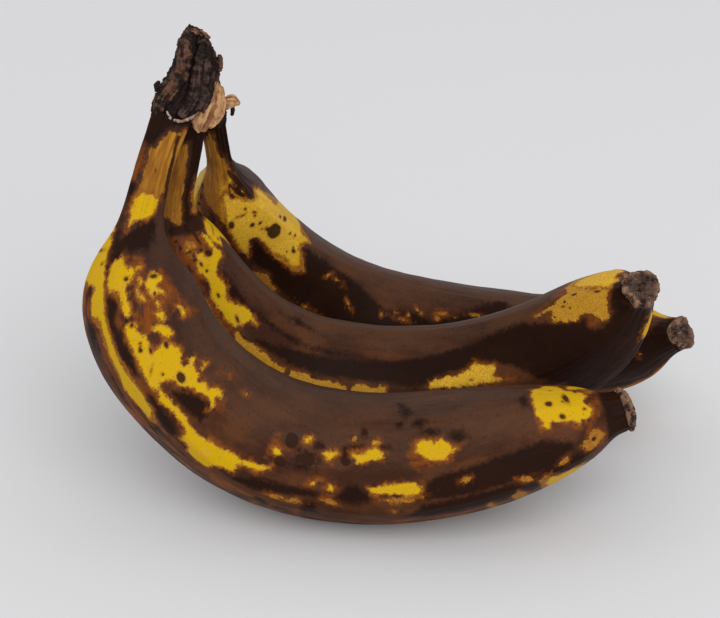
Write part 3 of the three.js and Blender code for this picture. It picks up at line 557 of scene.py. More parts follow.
def plantain(name, node, fruit, seed):
    # section = centre + r(s) k(a) (out cos a + side sin a); k = 1 + ridge (cos 5a + flat cos 10a)
    # for the five blunt ridges, with noise, creases and a narrow crest added outward
    shape = skinShape
    _, length = lineByLength(fruit["line"])
    end = length - shape["tipDepth"]
    t = np.linspace(0, 1, shape["along"])
    s = end * (t - shape["gather"] * np.sin(fullTurn * t) / math.pi)
    centre, _, side, out = fruitFrame(fruit, s)
    a = ringAngles(shape["around"])
    phi = a - fruit["turn"]
    phi = phi + shape["uneven"] * np.sin(phi)
    radius = fruitRadius(fruit, s)[:, None]
    k = 1 + shape["ridge"] * (np.cos(5 * phi) + shape["flatSide"] * np.cos(10 * phi))
    direction = out[:, None] * np.cos(a)[None, :, None] + side[:, None] * np.sin(a)[None, :, None]
    straight = np.stack(np.broadcast_arrays(s[:, None], radius * np.cos(a), radius * np.sin(a)), -1)
    nearNeck = np.exp(-(s / shape["neckReach"]) ** 2)[:, None]
    nearTip = np.exp(-((end - s) / shape["tipReach"]) ** 2)[:, None]
    crest = shape["crest"] * np.exp(-((np.cos(5 * phi) - 1) / shape["crestWidth"]) ** 2) * (1 - nearTip)
    (swell, swellSize), (dent, dentSize) = shape["swell"], shape["dent"]
    wander = shape["wander"] * softNoise(straight * [shape["wanderStretch"], 1, 1], dentSize, seed + 5)
    lift = (swell * softNoise(straight, swellSize, seed) * (1 - nearNeck)
            + dent * roughNoise(straight * [shape["dentStretch"], 1, 1], dentSize, seed + 1)
            + shape["wrinkle"] * np.sin(shape["wrinkles"] * a + wander) * (nearNeck + nearTip / 2) + crest)
    points = centre[:, None] + direction * (radius * k + lift)[..., None]
    press = fruit["press"]
    if press:
        # the necks are flattened where they meet
        normal = unit(np.array(press["normal"], float))
        over = (points - press["point"]) @ normal + shape["clearance"] / 2
        over = np.where((s < press["reach"])[:, None], np.maximum(over, 0), 0)
        points -= over[..., None] * normal
    points[..., 2] = np.maximum(points[..., 2], -seat[2])
    everyS, everyRadius, angle = np.broadcast_arrays(s[:, None], radius, a)
    fields = {label: markDepth(fruit, label, everyS, angle, everyRadius) for label in shape["marks"]}
    fields["ends"] = np.broadcast_to(nearNeck + nearTip, angle.shape)
    fields["straight"] = straight * mm
    print(name, "length", round(length), "mm, points", angle.size)
    return tubePiece(name, node, points, (centre[0], centre[-1]), fields)


skins = [plantain("plantainFront", "plantain_front", frontFruit, 11),
         plantain("plantainMiddle", "plantain_middle", middleFruit, 23),
         plantain("plantainBack", "plantain_back", backFruit, 37)]


# The dried blossom ends

tipShape = {
    "rows": 110,
    "around": 160,
    "profile": [[0, 0.9], [0.3, 1.0], [1.2, 1.06], [2.2, 1.08], [3.0, 1.0], [3.5, 0.86], [3.2, 0.72],
                [2.5, 0.56], [2.1, 0.4], [2.3, 0.26], [3.0, 0.16], [3.8, 0.08]],  # mm out, part of radius
    "crumble": (0.6, 2.4),    # mm of height and size, coarse broken edge
    "grit": (0.34, 1.1),      # mm of height and size, fine crust
    "lopsided": (0.12, 2),    # part of the depth, and waves round the rim
    "fold": (0.07, 3),        # part of the radius, and waves round the rim
    "ripple": (0.03, 7),      # part of the radius, and waves round the rim
    "rim": (0.95, 0.16),      # place and half width of the pale rim, part of the radius
    "rootDepth": 1.2,         # mm from the fruit over which the crust sets in
    "start": 0.1,             # mm past the fruit's end
    "heart": 0.3,             # mm, how far the middle stands out past the last ring
}


def blossomEnd(name, node, fruit, seed):
    # a profile of (depth, radius) turned round the fruit's end, then crumbled by noise
    shape = tipShape
    _, length = lineByLength(fruit["line"])
    end = np.array([length - skinShape["tipDepth"]])
    centre, tangent, side, out = (v[0] for v in fruitFrame(fruit, end))
    profile = splinePoint(shape["profile"], np.linspace(0, 1, shape["rows"]))
    depth, width = profile.T[:, :, None]
    a = ringAngles(shape["around"])
    (fold, folds), (ripple, ripples), (lopsided, tilts) = shape["fold"], shape["ripple"], shape["lopsided"]
    wave = 1 + fold * np.sin(folds * a + seed) + ripple * np.sin(ripples * a + 2 * seed)
    r = fruit["profile"][-1][1] * width * wave
    direction = out * np.cos(a)[:, None] + side * np.sin(a)[:, None]
    reach = depth * (1 + lopsided * np.sin(tilts * a + seed)) + shape["start"]
    points = centre + tangent * reach[..., None] + direction * r[..., None]
    (crumble, crumbleSize), (grit, gritSize) = shape["crumble"], shape["grit"]
    rough = crumble * softNoise(points, crumbleSize, seed) + grit * roughNoise(points, gritSize, seed + 3)
    points += gridNormals(points) * (rough * np.clip(depth / shape["rootDepth"], 0, 1))[..., None]
    rimPlace, rimWidth = shape["rim"]
    rim = np.exp(-((width - rimPlace) / rimWidth) ** 2) * np.ones_like(a)
    heart = points[-1].mean(0) + tangent * shape["heart"]
    return tubePiece(name, node, points, (centre, heart), {"rim": rim, "rough": rough})


tips = [blossomEnd("blossomEndFront", "tip_front", frontFruit, 3),
        blossomEnd("blossomEndMiddle", "tip_middle", middleFruit, 5),
        blossomEnd("blossomEndBack", "tip_back", backFruit, 8)]
print("blossom ends made")


# The dried crown and the torn fibre

crownShape = {
    "along": 90,              # rings along a strand
    "around": 56,             # points round a ring
    "lobes": 3,               # broad folds round a strand
    "lobeHeight": 0.10,       # part of the half width
    "knot": (0.16, 2.6),      # part of the half width and size in mm, lumps along a strand
    "knotSpan": 9,            # mm of noise read along a strand
    "chord": 0.02,            # of the strand, half the chord from which a tangent is taken
    "samples": 40,            # places on a strand among which the nearest is sought
    "apart": 20,              # mm between the strands' places in the noise
    "cell": 0.26,             # mm, the fused surface's mesh
    "fibre": (0.30, 0.9),     # mm of height and size, lengthwise fibres
    "fibreStretch": 0.16,     # below 1 draws the fibres out lengthwise
    "wrinkle": (0.34, 0.8),   # mm of height and size, short wrinkles across a strand
    "wrinkleStretch": 0.3,    # below 1 draws the wrinkles out sideways
    "grit": (0.14, 0.5),      # mm of height and size, fine crust
    "seam": (0.5, 0.6),       # mm of depth and width, grooves between strands
    "fullHeightAt": 1.6,      # mm of half width from which a strand carries the full relief
    "leastHeight": 0.2,       # share of the relief that the thinnest strand keeps
    "side": [0, -1, 0],
}

fibreShape = dict(crownShape, fibre=(0.42, 0.9), wrinkle=(0.1, 0.8), grit=(0.12, 0.5), seam=(0.4, 0.6))

# Shrivelled strands that run down from the torn top to the necks: depth over width, tint, and
# rows of x, y, z and half width in mm.
crownStrands = {
    "coreFront": (1.0, "dark", [[-60, 23.5, 173, 1.4], [-60.5, 22.5, 168, 3.4], [-61.5, 20.5, 160, 5.2],
        [-64, 17, 153, 6.2], [-66.4, 13.2, 147.8, 6.8], [-67.4, 11.8, 144.4, 6.4]]),
    "coreMiddle": (1.0, "dark", [[-57, 24, 170, 1.6], [-57, 23.5, 165, 4], [-57.8, 22.5, 158, 5.4],
        [-59.3, 20.5, 151, 6.4], [-60.8, 18.6, 145, 6.8], [-61.2, 18.2, 141, 6.4]]),
    "coreBack": (1.0, "dark", [[-57, 26, 163, 2], [-56.4, 26.2, 157, 4.6], [-55, 26.4, 149, 5.8],
        [-53.8, 26.6, 142, 5.4], [-53.5, 27, 137, 5]]),
    "strip": (0.9, "brown", [[-60.1, 23, 176.4, 0.5], [-61, 20.5, 174, 1.5], [-62.3, 17.5, 170.7, 2.9],
        [-62, 15.5, 167.1, 2.9], [-62, 14, 163.9, 2.6], [-63.8, 12.5, 160.8, 2.9],
        [-66.2, 10.8, 157.8, 3.2], [-69, 9.6, 154.6, 3.2], [-70.3, 9.4, 150.8, 2.9],
        [-70.6, 9.6, 146, 2.2]]),
    "tornEdge": (0.8, "tan", [[-60, 23, 175.2, 0.9], [-57.4, 22.6, 173.6, 1.5], [-55, 22, 172.2, 1.7],
        [-53.2, 21.4, 171.3, 0.8]]),
    "greyLobe": (0.85, "grey", [[-56.4, 21.6, 171.4, 1.2], [-54.9, 20.8, 169.4, 2.5],
        [-53.8, 20, 166.8, 2.8], [-54, 19.4, 163.6, 2.1]]),
    "leftStrand": (0.75, "grey", [[-55.4, 18.6, 169.2, 1.5], [-57.2, 16.4, 164.7, 1.7],
        [-57.1, 13.4, 159.8, 1.9], [-58.2, 10.4, 155, 2.1], [-60.3, 8, 150.7, 2.2],
        [-63.1, 6.4, 147.9, 1.5]]),
    "middleStrand": (0.75, "grey", [[-53.4, 19.4, 168, 1.7], [-54.5, 17.2, 162.8, 1.8],
        [-55.5, 14.8, 157.7, 2.1], [-56.6, 12.2, 153, 2.2], [-58.7, 9.8, 149.1, 2.2],
        [-60.8, 8.2, 147.1, 1.6]]),
    "rightStrand": (0.8, "grey", [[-52.2, 21, 164.7, 1.6], [-53, 20, 160.2, 2], [-53.7, 18, 155.6, 2.4],
        [-55.1, 15, 151.5, 2.5], [-57.1, 12, 148.1, 2]]),
    "finger": (0.9, "brown", [[-53, 19.8, 154, 1.2], [-52, 20.6, 157.6, 2], [-51, 21.2, 160.8, 2.1],
        [-50.2, 21.6, 163.4, 1.8], [-49.8, 21.8, 165.4, 0.6]]),
    "bump": (0.9, "dark", [[-70.6, 10, 160, 0.6], [-71.7, 9.6, 158.4, 1.2], [-71.4, 9.4, 156, 0.9]]),
    "lip": (1.0, "pale", [[-68, 7, 149.8, 0.4], [-67.3, 5.6, 147.8, 0.6], [-65.1, 5, 146.8, 0.7],
        [-62.3, 5.4, 146.6, 0.7], [-59.6, 6.8, 147, 0.7], [-57.3, 9.2, 148.6, 0.5]]),
    "leftBehind": (0.8, "brown", [[-60.6, 26.5, 172.5, 1], [-61.8, 27.5, 164, 2.2],
        [-63.4, 25.5, 156, 2.6], [-66.6, 20.8, 149.6, 2.6], [-68.4, 17.4, 146, 1.8]]),
    "middleBehind": (0.8, "grey", [[-58.4, 28, 172, 1], [-59.4, 31, 163.5, 2.5], [-61, 30.5, 155, 3.1],
        [-63, 27, 147.5, 3.2], [-64.5, 23.6, 141.5, 2]]),
    "rightBehind": (0.8, "brown", [[-54.6, 27.5, 168, 1], [-53.2, 31.5, 160.5, 2.3], [-53.8, 33, 152, 2.6],
        [-54.4, 32.4, 144.5, 2.8], [-55, 31.4, 138.5, 1.8]]),
    "outerBehind": (0.8, "grey", [[-53, 24.5, 162, 1], [-52.6, 27.5, 156, 1.6], [-51.6, 29, 149, 2],
        [-50.8, 29.4, 142.5, 2], [-50.4, 28.8, 137.5, 1.4]]),
}

fibreStrands = {
    "backing": (0.4, "straw", [[-51.8, 22.2, 155.6, 1.2], [-52.2, 20.6, 150.4, 4],
        [-53.2, 18.8, 145.6, 4.8], [-55, 16.8, 141.6, 3.6], [-56.2, 15.6, 138.6, 1]]),
    "leftShred": (0.75, "straw", [[-52.2, 20, 156.8, 1], [-53.1, 18, 152.6, 1.8], [-55, 15.2, 148.4, 2.3],
        [-57.3, 12.4, 145.1, 2.4], [-57.6, 11.6, 142.2, 2], [-57.4, 11.6, 139.8, 0.7]]),
    "middleShred": (0.75, "straw", [[-51.1, 22, 155.4, 0.9], [-51.2, 20.5, 150.1, 2.4],
        [-52.9, 18, 145.7, 3.1], [-55.2, 15.4, 142.4, 2.5], [-56.4, 14.2, 138.9, 0.8]]),
    "rightShred": (0.75, "straw", [[-49.9, 24, 152.4, 0.9], [-49.6, 22.8, 147, 2.3],
        [-50.8, 20.8, 142.8, 2.2], [-52, 19.6, 140.2, 0.9]]),
    "wing": (0.45, "straw", [[-51, 21.5, 145.6, 2], [-48.9, 23, 146.2, 2.4], [-46.6, 24, 146.6, 2.6],
        [-44.5, 25, 145.8, 1.8], [-43.3, 25.6, 145, 0.4]]),
    "darkScrap": (0.7, "dark", [[-46.2, 24.2, 146, 1], [-45.8, 25, 143.6, 1], [-46.3, 25.6, 140.6, 0.6]]),
}

crownTints = {
    "dark": (38, 22, 16), "brown": (102, 69, 51), "tan": (146, 100, 72), "grey": (76, 54, 46),
    "pale": (176, 160, 150), "straw": (188, 147, 102),
}


def strandFrame(rows, t):
    # centre, half width, and the out and side directions of a strand's section at t
    line = splinePoint(rows, t)
    reach = crownShape["chord"]
    chord = splinePoint(rows, np.minimum(t + reach, 1)) - splinePoint(rows, np.maximum(t - reach, 0))
    tangent = unit(chord[:, :3])
    side = np.array(crownShape["side"], float)
    side = unit(side - (tangent @ side)[:, None] * tangent)
    return line[:, :3], line[:, 3], np.cross(tangent, side), side


def strandGrid(rows, flat, seed):
    # oval rings along the strand: half width times (1 + folds sin(3a) + lumps of soft noise)
    shape = crownShape
    t = np.linspace(0, 1, shape["along"])
    centre, half, out, side = strandFrame(rows, t)
    a = ringAngles(shape["around"])
    across, up = half[:, None] * np.cos(a), half[:, None] * np.sin(a)
    place = np.stack(np.broadcast_arrays(across, up, shape["knotSpan"] * t[:, None]), -1)
    knot, knotSize = shape["knot"]
    k = 1 + shape["lobeHeight"] * np.sin(shape["lobes"] * a + seed + 2 * t[:, None])
    k = k + knot * softNoise(place, knotSize, seed)
    ring = out[:, None] * np.cos(a)[:, None] + side[:, None] * (flat * np.sin(a))[:, None]
    return centre[:, None] + ring * (half[:, None] * k)[..., None]


def fusedStrands(name, strands, cell, seed):
    # all strands joined into one skin by a voxel remesh, worked in mm for exactness
    vertices, faces, start = [], [], 0
    for number, (flat, _, rows) in enumerate(strands.values()):
        points = strandGrid(rows, flat, seed + number)
        v, quads, fans = closedTube(points, (points[0].mean(0), points[-1].mean(0)))
        vertices.append(v)
        faces += (quads + start).tolist() + (fans + start).tolist()
        start += len(v)
    mesh = bpy.data.meshes.new(name)
    mesh.from_pydata(np.vstack(vertices).tolist(), [], faces)
    rough = addObject(name + "Rough", mesh)
    fuse = rough.modifiers.new("fuse", "REMESH")
    fuse.mode = "VOXEL"
    fuse.voxel_size = cell
    finished = bpy.data.meshes.new_from_object(rough.evaluated_get(bpy.context.evaluated_depsgraph_get()))
    bpy.data.objects.remove(rough)
    bpy.data.meshes.remove(mesh)
    return finished


def nearestStrand(points, strands):
    # for every point: the strand whose skin is nearest, its place along and across it in mm, that
    # strand's half width there, and how much nearer it is than the second nearest
    best = np.full(len(points), np.inf)
    second = np.full(len(points), np.inf)
    index = np.zeros(len(points), int)
    local = np.zeros((len(points), 3))
    width = np.zeros(len(points))
    each = np.arange(len(points))
    for number, (_, _, rows) in enumerate(strands.values()):
        centre, half, out, side = strandFrame(rows, np.linspace(0, 1, crownShape["samples"]))
        along = np.r_[0, np.cumsum(np.linalg.norm(np.diff(centre, axis=0), axis=1))]
        away = points[:, None] - centre[None]
        distance = np.linalg.norm(away, axis=2) - half
        near = distance.argmin(1)
        nearest = distance[each, near]
        gap = away[each, near]
        axes = [direction[near] for direction in (np.cross(side, out), out, side)]
        place = np.stack([(gap * axis).sum(1) for axis in axes], -1)
        place[:, 0] += along[near] + crownShape["apart"] * number
        closer = nearest < best
        second = np.minimum(second, np.where(closer, best, nearest))
        best = np.where(closer, nearest, best)
        index = np.where(closer, number, index)
        local = np.where(closer[:, None], place, local)
        width = np.where(closer, half[near], width)
    return index, local, width, second - best


def readVectors(values, field):
    # three numbers for each item, read in one call
    flat = np.empty(len(values) * 3, np.float32)
    values.foreach_get(field, flat)
    return flat.reshape(-1, 3).astype(float)


def strandBody(name, node, strands, shape, seed):
    # the fused skin raised along its normals by fibres, wrinkles and grit
    mesh = fusedStrands(name, strands, shape["cell"], seed)
    points = readVectors(mesh.vertices, "co")
    normals = readVectors(mesh.vertex_normals, "vector")
    index, local, width, lead = nearestStrand(points, strands)
    (fibre, fibreSize), (wrinkle, wrinkleSize) = shape["fibre"], shape["wrinkle"]
    (grit, gritSize), (seam, seamWidth) = shape["grit"], shape["seam"]
    lengthwise, across = shape["fibreStretch"], shape["wrinkleStretch"]
    lift = (fibre * roughNoise(local * [lengthwise, 1, 1], fibreSize, seed + 40)
            + wrinkle * roughNoise(local * [1, across, across], wrinkleSize, seed + 50, 2)
            + grit * roughNoise(points, gritSize, seed + 60, 2)
            - seam * np.exp(-(lead / seamWidth) ** 2))
    lift = lift * np.clip(width / shape["fullHeightAt"], shape["leastHeight"], 1)
    placed = (points + normals * lift[:, None] + seat) * mm
    mesh.vertices.foreach_set("co", placed.astype(np.float32).ravel())
    tints = np.array([colour(*crownTints[tint])[:3] for _, tint, _ in strands.values()])
    addLayer(mesh, "tint", tints[index])
    addLayer(mesh, "straight", local * mm)
    addLayer(mesh, "lift", lift[:, None])
    mesh.update()
    print(name, "points", len(points))
    return addPiece(name, mesh, node)


crownStub = strandBody("crownStub", "crown", crownStrands, crownShape, 51)
tornFibre = strandBody("tornFibre", "torn_fibre", fibreStrands, fibreShape, 67)
print("crown made")


# Materials

class NodeBench:
    # places shader nodes by type and joins them by plain calls
    def __init__(self, tree):
        self.tree = tree

    def add(self, kind, **settings):
        node = self.tree.nodes.new(kind)
        for key, value in settings.items():
            setattr(node, key, value)
        return node

    def set(self, socket, value):
        # a link from another node, or a constant
        if isinstance(value, bpy.types.NodeSocket):
            self.tree.links.new(value, socket)
        else:
            socket.default_value = value

    def grain(self, place, scale, along=1.0, detail=2.0, roughness=0.6):
        # the shared noise, -1 to 1; along below 1 draws it out lengthwise
        node = self.add("ShaderNodeGroup", node_tree=grainEffect)
        for socket, value in zip(node.inputs, (place, along, scale, detail, roughness)):
            self.set(socket, value)
        return node.outputs["Value"]

    def math(self, operation, a, b):
        node = self.add("ShaderNodeMath", operation=operation)
        self.set(node.inputs[0], a)
        self.set(node.inputs[1], b)
        return node.outputs[0]

    def times(self, *values):
        total = values[0]
        for value in values[1:]:
            total = self.math("MULTIPLY", total, value)
        return total

    def sum(self, *values):
        total = values[0]
        for value in values[1:]:
            total = self.math("ADD", total, value)
        return total

    def step(self, value, low, high):
        # 0 to 1 by 3x^2 - 2x^3 between low and high
        node = self.add("ShaderNodeMapRange", interpolation_type="SMOOTHSTEP")
        for name, given in (("Value", value), ("From Min", low), ("From Max", high)):
            self.set(node.inputs[name], given)
        return node.outputs["Result"]

    def mix(self, factor, a, b, kind="RGBA"):
        # the node's colour sockets come after those for values and vectors
        node = self.add("ShaderNodeMix", data_type=kind)
        first, result = (6, 2) if kind == "RGBA" else (2, 0)
        for number, value in ((0, factor), (first, a), (first + 1, b)):
            self.set(node.inputs[number], value)
        return node.outputs[result]

    def split(self, vector):
        node = self.add("ShaderNodeSeparateXYZ")
        self.set(node.inputs[0], vector)
        return node.outputs

    def attribute(self, name, output="Fac"):
        return self.add("ShaderNodeAttribute", attribute_name=name).outputs[output]


def sharedGrain():
    # noise of (place x (along, 1, 1)) x scale, made -1 to 1 by doubling and taking one off
    tree = bpy.data.node_groups.new("grain", "ShaderNodeTree")
    tree.interface.new_socket("Place", in_out="INPUT", socket_type="NodeSocketVector")
    for name in ("Along", "Scale", "Detail", "Roughness"):
        tree.interface.new_socket(name, in_out="INPUT", socket_type="NodeSocketFloat")
    tree.interface.new_socket("Value", in_out="OUTPUT", socket_type="NodeSocketFloat")
    bench = NodeBench(tree)
    given = bench.add("NodeGroupInput").outputs
    stretch = bench.add("ShaderNodeCombineXYZ")
    for axis, value in zip("XYZ", (given["Along"], 1.0, 1.0)):
        bench.set(stretch.inputs[axis], value)
    drawn = bench.add("ShaderNodeVectorMath", operation="MULTIPLY")
    bench.set(drawn.inputs[0], given["Place"])
    bench.set(drawn.inputs[1], stretch.outputs["Vector"])
    noise = bench.add("ShaderNodeTexNoise")
    bench.set(noise.inputs["Vector"], drawn.outputs["Vector"])
    for name in ("Scale", "Detail", "Roughness"):
        bench.set(noise.inputs[name], given[name])
    value = bench.math("SUBTRACT", bench.times(noise.outputs["Fac"], 2.0), 1.0)
    bench.set(bench.add("NodeGroupOutput").inputs["Value"], value)
    return tree


grainEffect = sharedGrain()


def newMaterial(name):
    # the material, a bench on its nodes, and its shader
    material = bpy.data.materials.new(name)
    material.use_nodes = True
    return material, NodeBench(material.node_tree), material.node_tree.nodes["Principled BSDF"]


def finishShader(bench, shader, base, look, roughness, height):
    # joins the tone, roughness and relief of a surface to its shader
    bench.set(shader.inputs["Base Color"], base)
    bench.set(shader.inputs["Roughness"], roughness)
    shader.inputs["Specular IOR Level"].default_value = look["gloss"]
    bump = bench.add("ShaderNodeBump")
    for name, value in zip(("Strength", "Distance"), look["bump"]):
        bump.inputs[name].default_value = value
    bench.set(bump.inputs["Height"], height)
    bench.set(shader.inputs["Normal"], bump.outputs["Normal"])


skinLook = {
    "yellow": colour(198, 158, 12),
    "paleYellow": colour(200, 152, 48),
    "gold": colour(228, 182, 52),
    "goldDark": colour(190, 140, 42),
    "amber": colour(184, 130, 44),
    "amberDark": colour(130, 80, 28),
    "rust": colour(126, 66, 20),
    "brown": colour(87, 52, 31),
    "darkBrown": colour(60, 34, 22),
    # grey-brown of the painted sheen on the top faces
    "sheenGreyBrown": colour(75, 54, 42),
    "duskyBrown": colour(56, 40, 36),
    "black": colour(30, 14, 8),
    "spot": colour(46, 25, 15),
    "noises": {               # grains per metre, lengthwise share, detail, roughness
        "coarse": (230,), "middle": (620,), "fine": (1900,), "streak": (520, 0.14, 3.0),
        "cloud": (75, 0.5, 3.0), "mottle": (210, 0.3, 4.0, 0.65), "band": (190, 0.12, 4.0, 0.65),
        "pepper": (900,), "patch": (42, 0.5, 4.0, 0.62), "speck": (1300, 1.0, 1.0, 0.5),
    },
    "ragged": {"coarse": 0.9, "middle": 0.9, "fine": 0.5},  # mm, unevenness of the markings' edges
    "edges": {                # share of the unevenness, then mm of depth where a tone begins and is full
        "rust": (1.8, -1.2, 1.2), "black": (1.7, -1.6, 1.2), "amberRim": (1.4, -1.8, -0.3),
        "gold": (1.5, -2.0, 2.0), "amber": (1.2, -0.3, 0.6), "yellowRim": (1.6, -2.5, -0.3),
        "yellowInnerRim": (1.4, -1.1, 0.1), "yellowGround": (1.1, -0.35, 0.3), "yellow": (1.1, 0.1, 0.9),
        "spotRim": (0.5, -0.8, 0.1), "spot": (0.45, -0.25, 0.3),
    },
    "levels": {               # mm, or noise, between which a tone comes in
        "below": (2, 14), "above": (-8, -20), "behind": (-6, -14), "shoulder": (110, 50),
        "cloud": (-0.24, 0.28), "paintedSheen": (0.3, 1.2), "band": (0.0, 0.5), "blackMottle": (-0.08, -0.22),
        "rustMottle": (0.0, 0.18), "amberMottle": (0.18, 0.32), "streak": (-0.6, 0.5),
        "pepper": (0.12, 0.40), "patchy": (-0.35, 0.35), "amberGrain": (-0.4, 0.65),
        "goldAmber": (-0.6, 0.2), "flesh": (-0.7, 0.1), "goldGrain": (-0.4, 0.3),
        "speck": (0.36, 0.48), "shine": (-0.4, 0.4),
    },
    "strength": {             # of the full tone
        "paintedSheen": 0.55, "shoulder": 0.65, "band": 0.65, "black": 0.92, "pepper": 0.35, "amberRim": 0.45,
        "yellowRim": 0.8, "speck": 0.5, "speckOnBrown": 0.08, "spotRim": 0.5, "spot": 0.93,
    },
    "streakInSheen": 0.8,
    "streakAtEnds": 1.4,
    "patchFrom": 0.34,        # noise level at which a patch begins on the far side
    "patchSlope": 22.0,       # mm of depth for one unit of noise
    "patchBan": 12.0,         # mm taken off the depth where outlines are drawn instead
    "roughness": (0.40, 0.55),
    "gloss": 0.05,            # of the full specular level
    "relief": {"fine": 0.5, "middle": 0.5, "streak": 0.8},
    "bump": (0.35, 0.0004),   # strength, and metres of height
}


def skinMaterial():
    # tones are laid one over another: browns with a grey-brown painted sheen on the top faces, mottling
    # below, rust, black, amber, yellow, specks, spots
    look = skinLook
    strength = look["strength"]
    material, bench, shader = newMaterial("overripeSkin")
    place = bench.attribute("straight", "Vector")
    ends = bench.attribute("ends")
    yellow, gold, amber, rust, black, spots = (bench.attribute(name) for name in skinShape["marks"])
    noise = {name: bench.grain(place, *values) for name, values in look["noises"].items()}
    along, outward, sideways = (bench.times(axis, 1 / mm) for axis in bench.split(place))
    ragged = bench.sum(*(bench.times(noise[name], height) for name, height in look["ragged"].items()))

    def edge(depth, name):
        # mask that rises with the depth, after the edge is made uneven
        unevenness, low, high = look["edges"][name]
        return bench.step(bench.sum(depth, bench.times(ragged, unevenness)), low, high)

    def level(value, name):
        return bench.step(value, *look["levels"][name])

    below = level(outward, "below")
    # painted sheen: the top faces, inside the curve, are turned grey-brown, broken by lengthwise streaks
    paintedSheen = bench.sum(level(outward, "above"), bench.times(noise["streak"], look["streakInSheen"]))
    patchy = level(noise["coarse"], "patchy")
    inGold = edge(gold, "gold")
    grain = bench.mix(bench.times(ends, look["streakAtEnds"]), noise["fine"], noise["streak"], "FLOAT")
    amberTone = bench.mix(level(grain, "amberGrain"), look["amberDark"], look["amber"])
    amberGold = bench.mix(level(noise["fine"], "goldAmber"), look["amberDark"], look["goldDark"])
    amberTone = bench.mix(inGold, amberTone, amberGold)
    mealy = level(bench.sum(noise["coarse"], noise["fine"]), "flesh")
    flesh = bench.mix(mealy, look["paleYellow"], look["yellow"])
    goldTone = bench.mix(level(noise["fine"], "goldGrain"), look["goldDark"], look["gold"])
    flesh = bench.mix(inGold, flesh, goldTone)
    # behind, where no outline is drawn, yellow patches come from noise
    drawn = bench.math("SUBTRACT", 1.0, level(sideways, "behind"))
    patch = bench.times(bench.math("SUBTRACT", noise["patch"], look["patchFrom"]), look["patchSlope"])
    patch = bench.math("SUBTRACT", patch, bench.times(drawn, look["patchBan"]))
    yellow = bench.math("MAXIMUM", yellow, patch)
    inYellow = edge(yellow, "yellowGround")
    speckShare = bench.sum(bench.times(inYellow, strength["speck"]), strength["speckOnBrown"])
    layers = [
        # painted sheen on the top faces
        (look["sheenGreyBrown"], strength["paintedSheen"], level(paintedSheen, "paintedSheen")),
        (look["duskyBrown"], strength["shoulder"], level(along, "shoulder")),
        (look["darkBrown"], strength["band"], level(noise["band"], "band")),
        (look["black"], below, level(noise["mottle"], "blackMottle")),
        (look["rust"], below, level(noise["mottle"], "rustMottle")),
        (look["amberDark"], below, level(noise["mottle"], "amberMottle")),
        (look["rust"], level(noise["streak"], "streak"), edge(rust, "rust")),
        (look["black"], strength["black"], edge(black, "black")),
        (look["black"], strength["pepper"], level(noise["pepper"], "pepper")),
        (look["rust"], strength["amberRim"], patchy, edge(amber, "amberRim")),
        (amberTone, edge(amber, "amber")),
        (look["rust"], strength["yellowRim"], patchy, edge(yellow, "yellowRim")),
        (look["amberDark"], strength["yellowRim"], patchy, edge(yellow, "yellowInnerRim")),
        (amberTone, inYellow),
        (flesh, edge(yellow, "yellow")),
        (look["rust"], speckShare, level(noise["speck"], "speck")),
        (look["rust"], strength["spotRim"], inYellow, edge(spots, "spotRim")),
        (look["spot"], strength["spot"], edge(spots, "spot")),
    ]
    base = bench.mix(level(noise["cloud"], "cloud"), look["darkBrown"], look["brown"])
    for tone, *shares in layers:
        base = bench.mix(bench.times(*shares), base, tone)
    smooth, dull = look["roughness"]
    roughness = bench.sum(bench.times(level(noise["cloud"], "shine"), dull - smooth), smooth)
    height = bench.sum(*(bench.times(noise[name], share) for name, share in look["relief"].items()))
    finishShader(bench, shader, base, look, roughness, height)
    return material


tissueLook = {
    # painted shade for the hollows and grooves
    "hollowShade": colour(24, 13, 9),
    "paleHollowShade": colour(128, 82, 50),
    "streak": (1100, 0.2, 4.0, 0.7),    # grains per metre, lengthwise share, detail, roughness
    "blotch": (420, 1.0, 3.0),
    "streakHeight": 0.7,                # mm
    "blotchHeight": 0.8,                # mm
    "paleFrom": (0.3, 0.5),             # red of the tint between which the painted shade in its hollows turns pale
    "paleLift": 0.25,                   # mm
    "ridge": (-0.3, 0.62),              # mm of height between which the painted shade turns to the tint
    "roughness": 0.75,
    "gloss": 0.2,
    "bump": (0.6, 0.0003),
}


def tissueMaterial():
    # ridges keep the strand's tint; hollows and the grooves between strands get near-black painted shade,
    # paler in pale strands
    look = tissueLook
    material, bench, shader = newMaterial("driedTissue")
    place = bench.attribute("straight", "Vector")
    tint = bench.attribute("tint", "Color")
    streak = bench.grain(place, *look["streak"])
    blotch = bench.grain(place, *look["blotch"])
    # painted shade for the hollows, near-black in dark strands and pale brown in pale ones
    pale = bench.step(bench.split(tint)[0], *look["paleFrom"])
    dark = bench.mix(pale, look["hollowShade"], look["paleHollowShade"])
    height = bench.sum(bench.attribute("lift"), bench.times(streak, look["streakHeight"]),
                       bench.times(blotch, look["blotchHeight"]), bench.times(pale, look["paleLift"]))
    base = bench.mix(bench.step(height, *look["ridge"]), dark, tint)
    finishShader(bench, shader, base, look, look["roughness"], streak)
    return material


crustLook = {
    "rim": colour(142, 106, 80),
    "crust": colour(92, 70, 58),
    "greyHighlight": colour(138, 126, 120),
    "pitShade": colour(36, 21, 15),
    "grain": (1500, 1.0, 3.0, 0.65),    # grains per metre, lengthwise share, detail, roughness
    "cloud": (420,),
    "grainHeight": 0.9,                 # mm
    "cloudHeight": 0.4,                 # mm
    "pitShadeTo": (-0.7, 0.5),               # mm of height between which the painted shade in the pits turns to crust
    "highlightFrom": (0.25, 0.75),           # noise between which the grey painted highlight comes in
    "rimFrom": (-0.4, 0.6),             # mm of height between which the rim is worn pale
    "roughness": 0.85,
    "gloss": 0.2,
    "bump": (0.5, 0.0003),
}


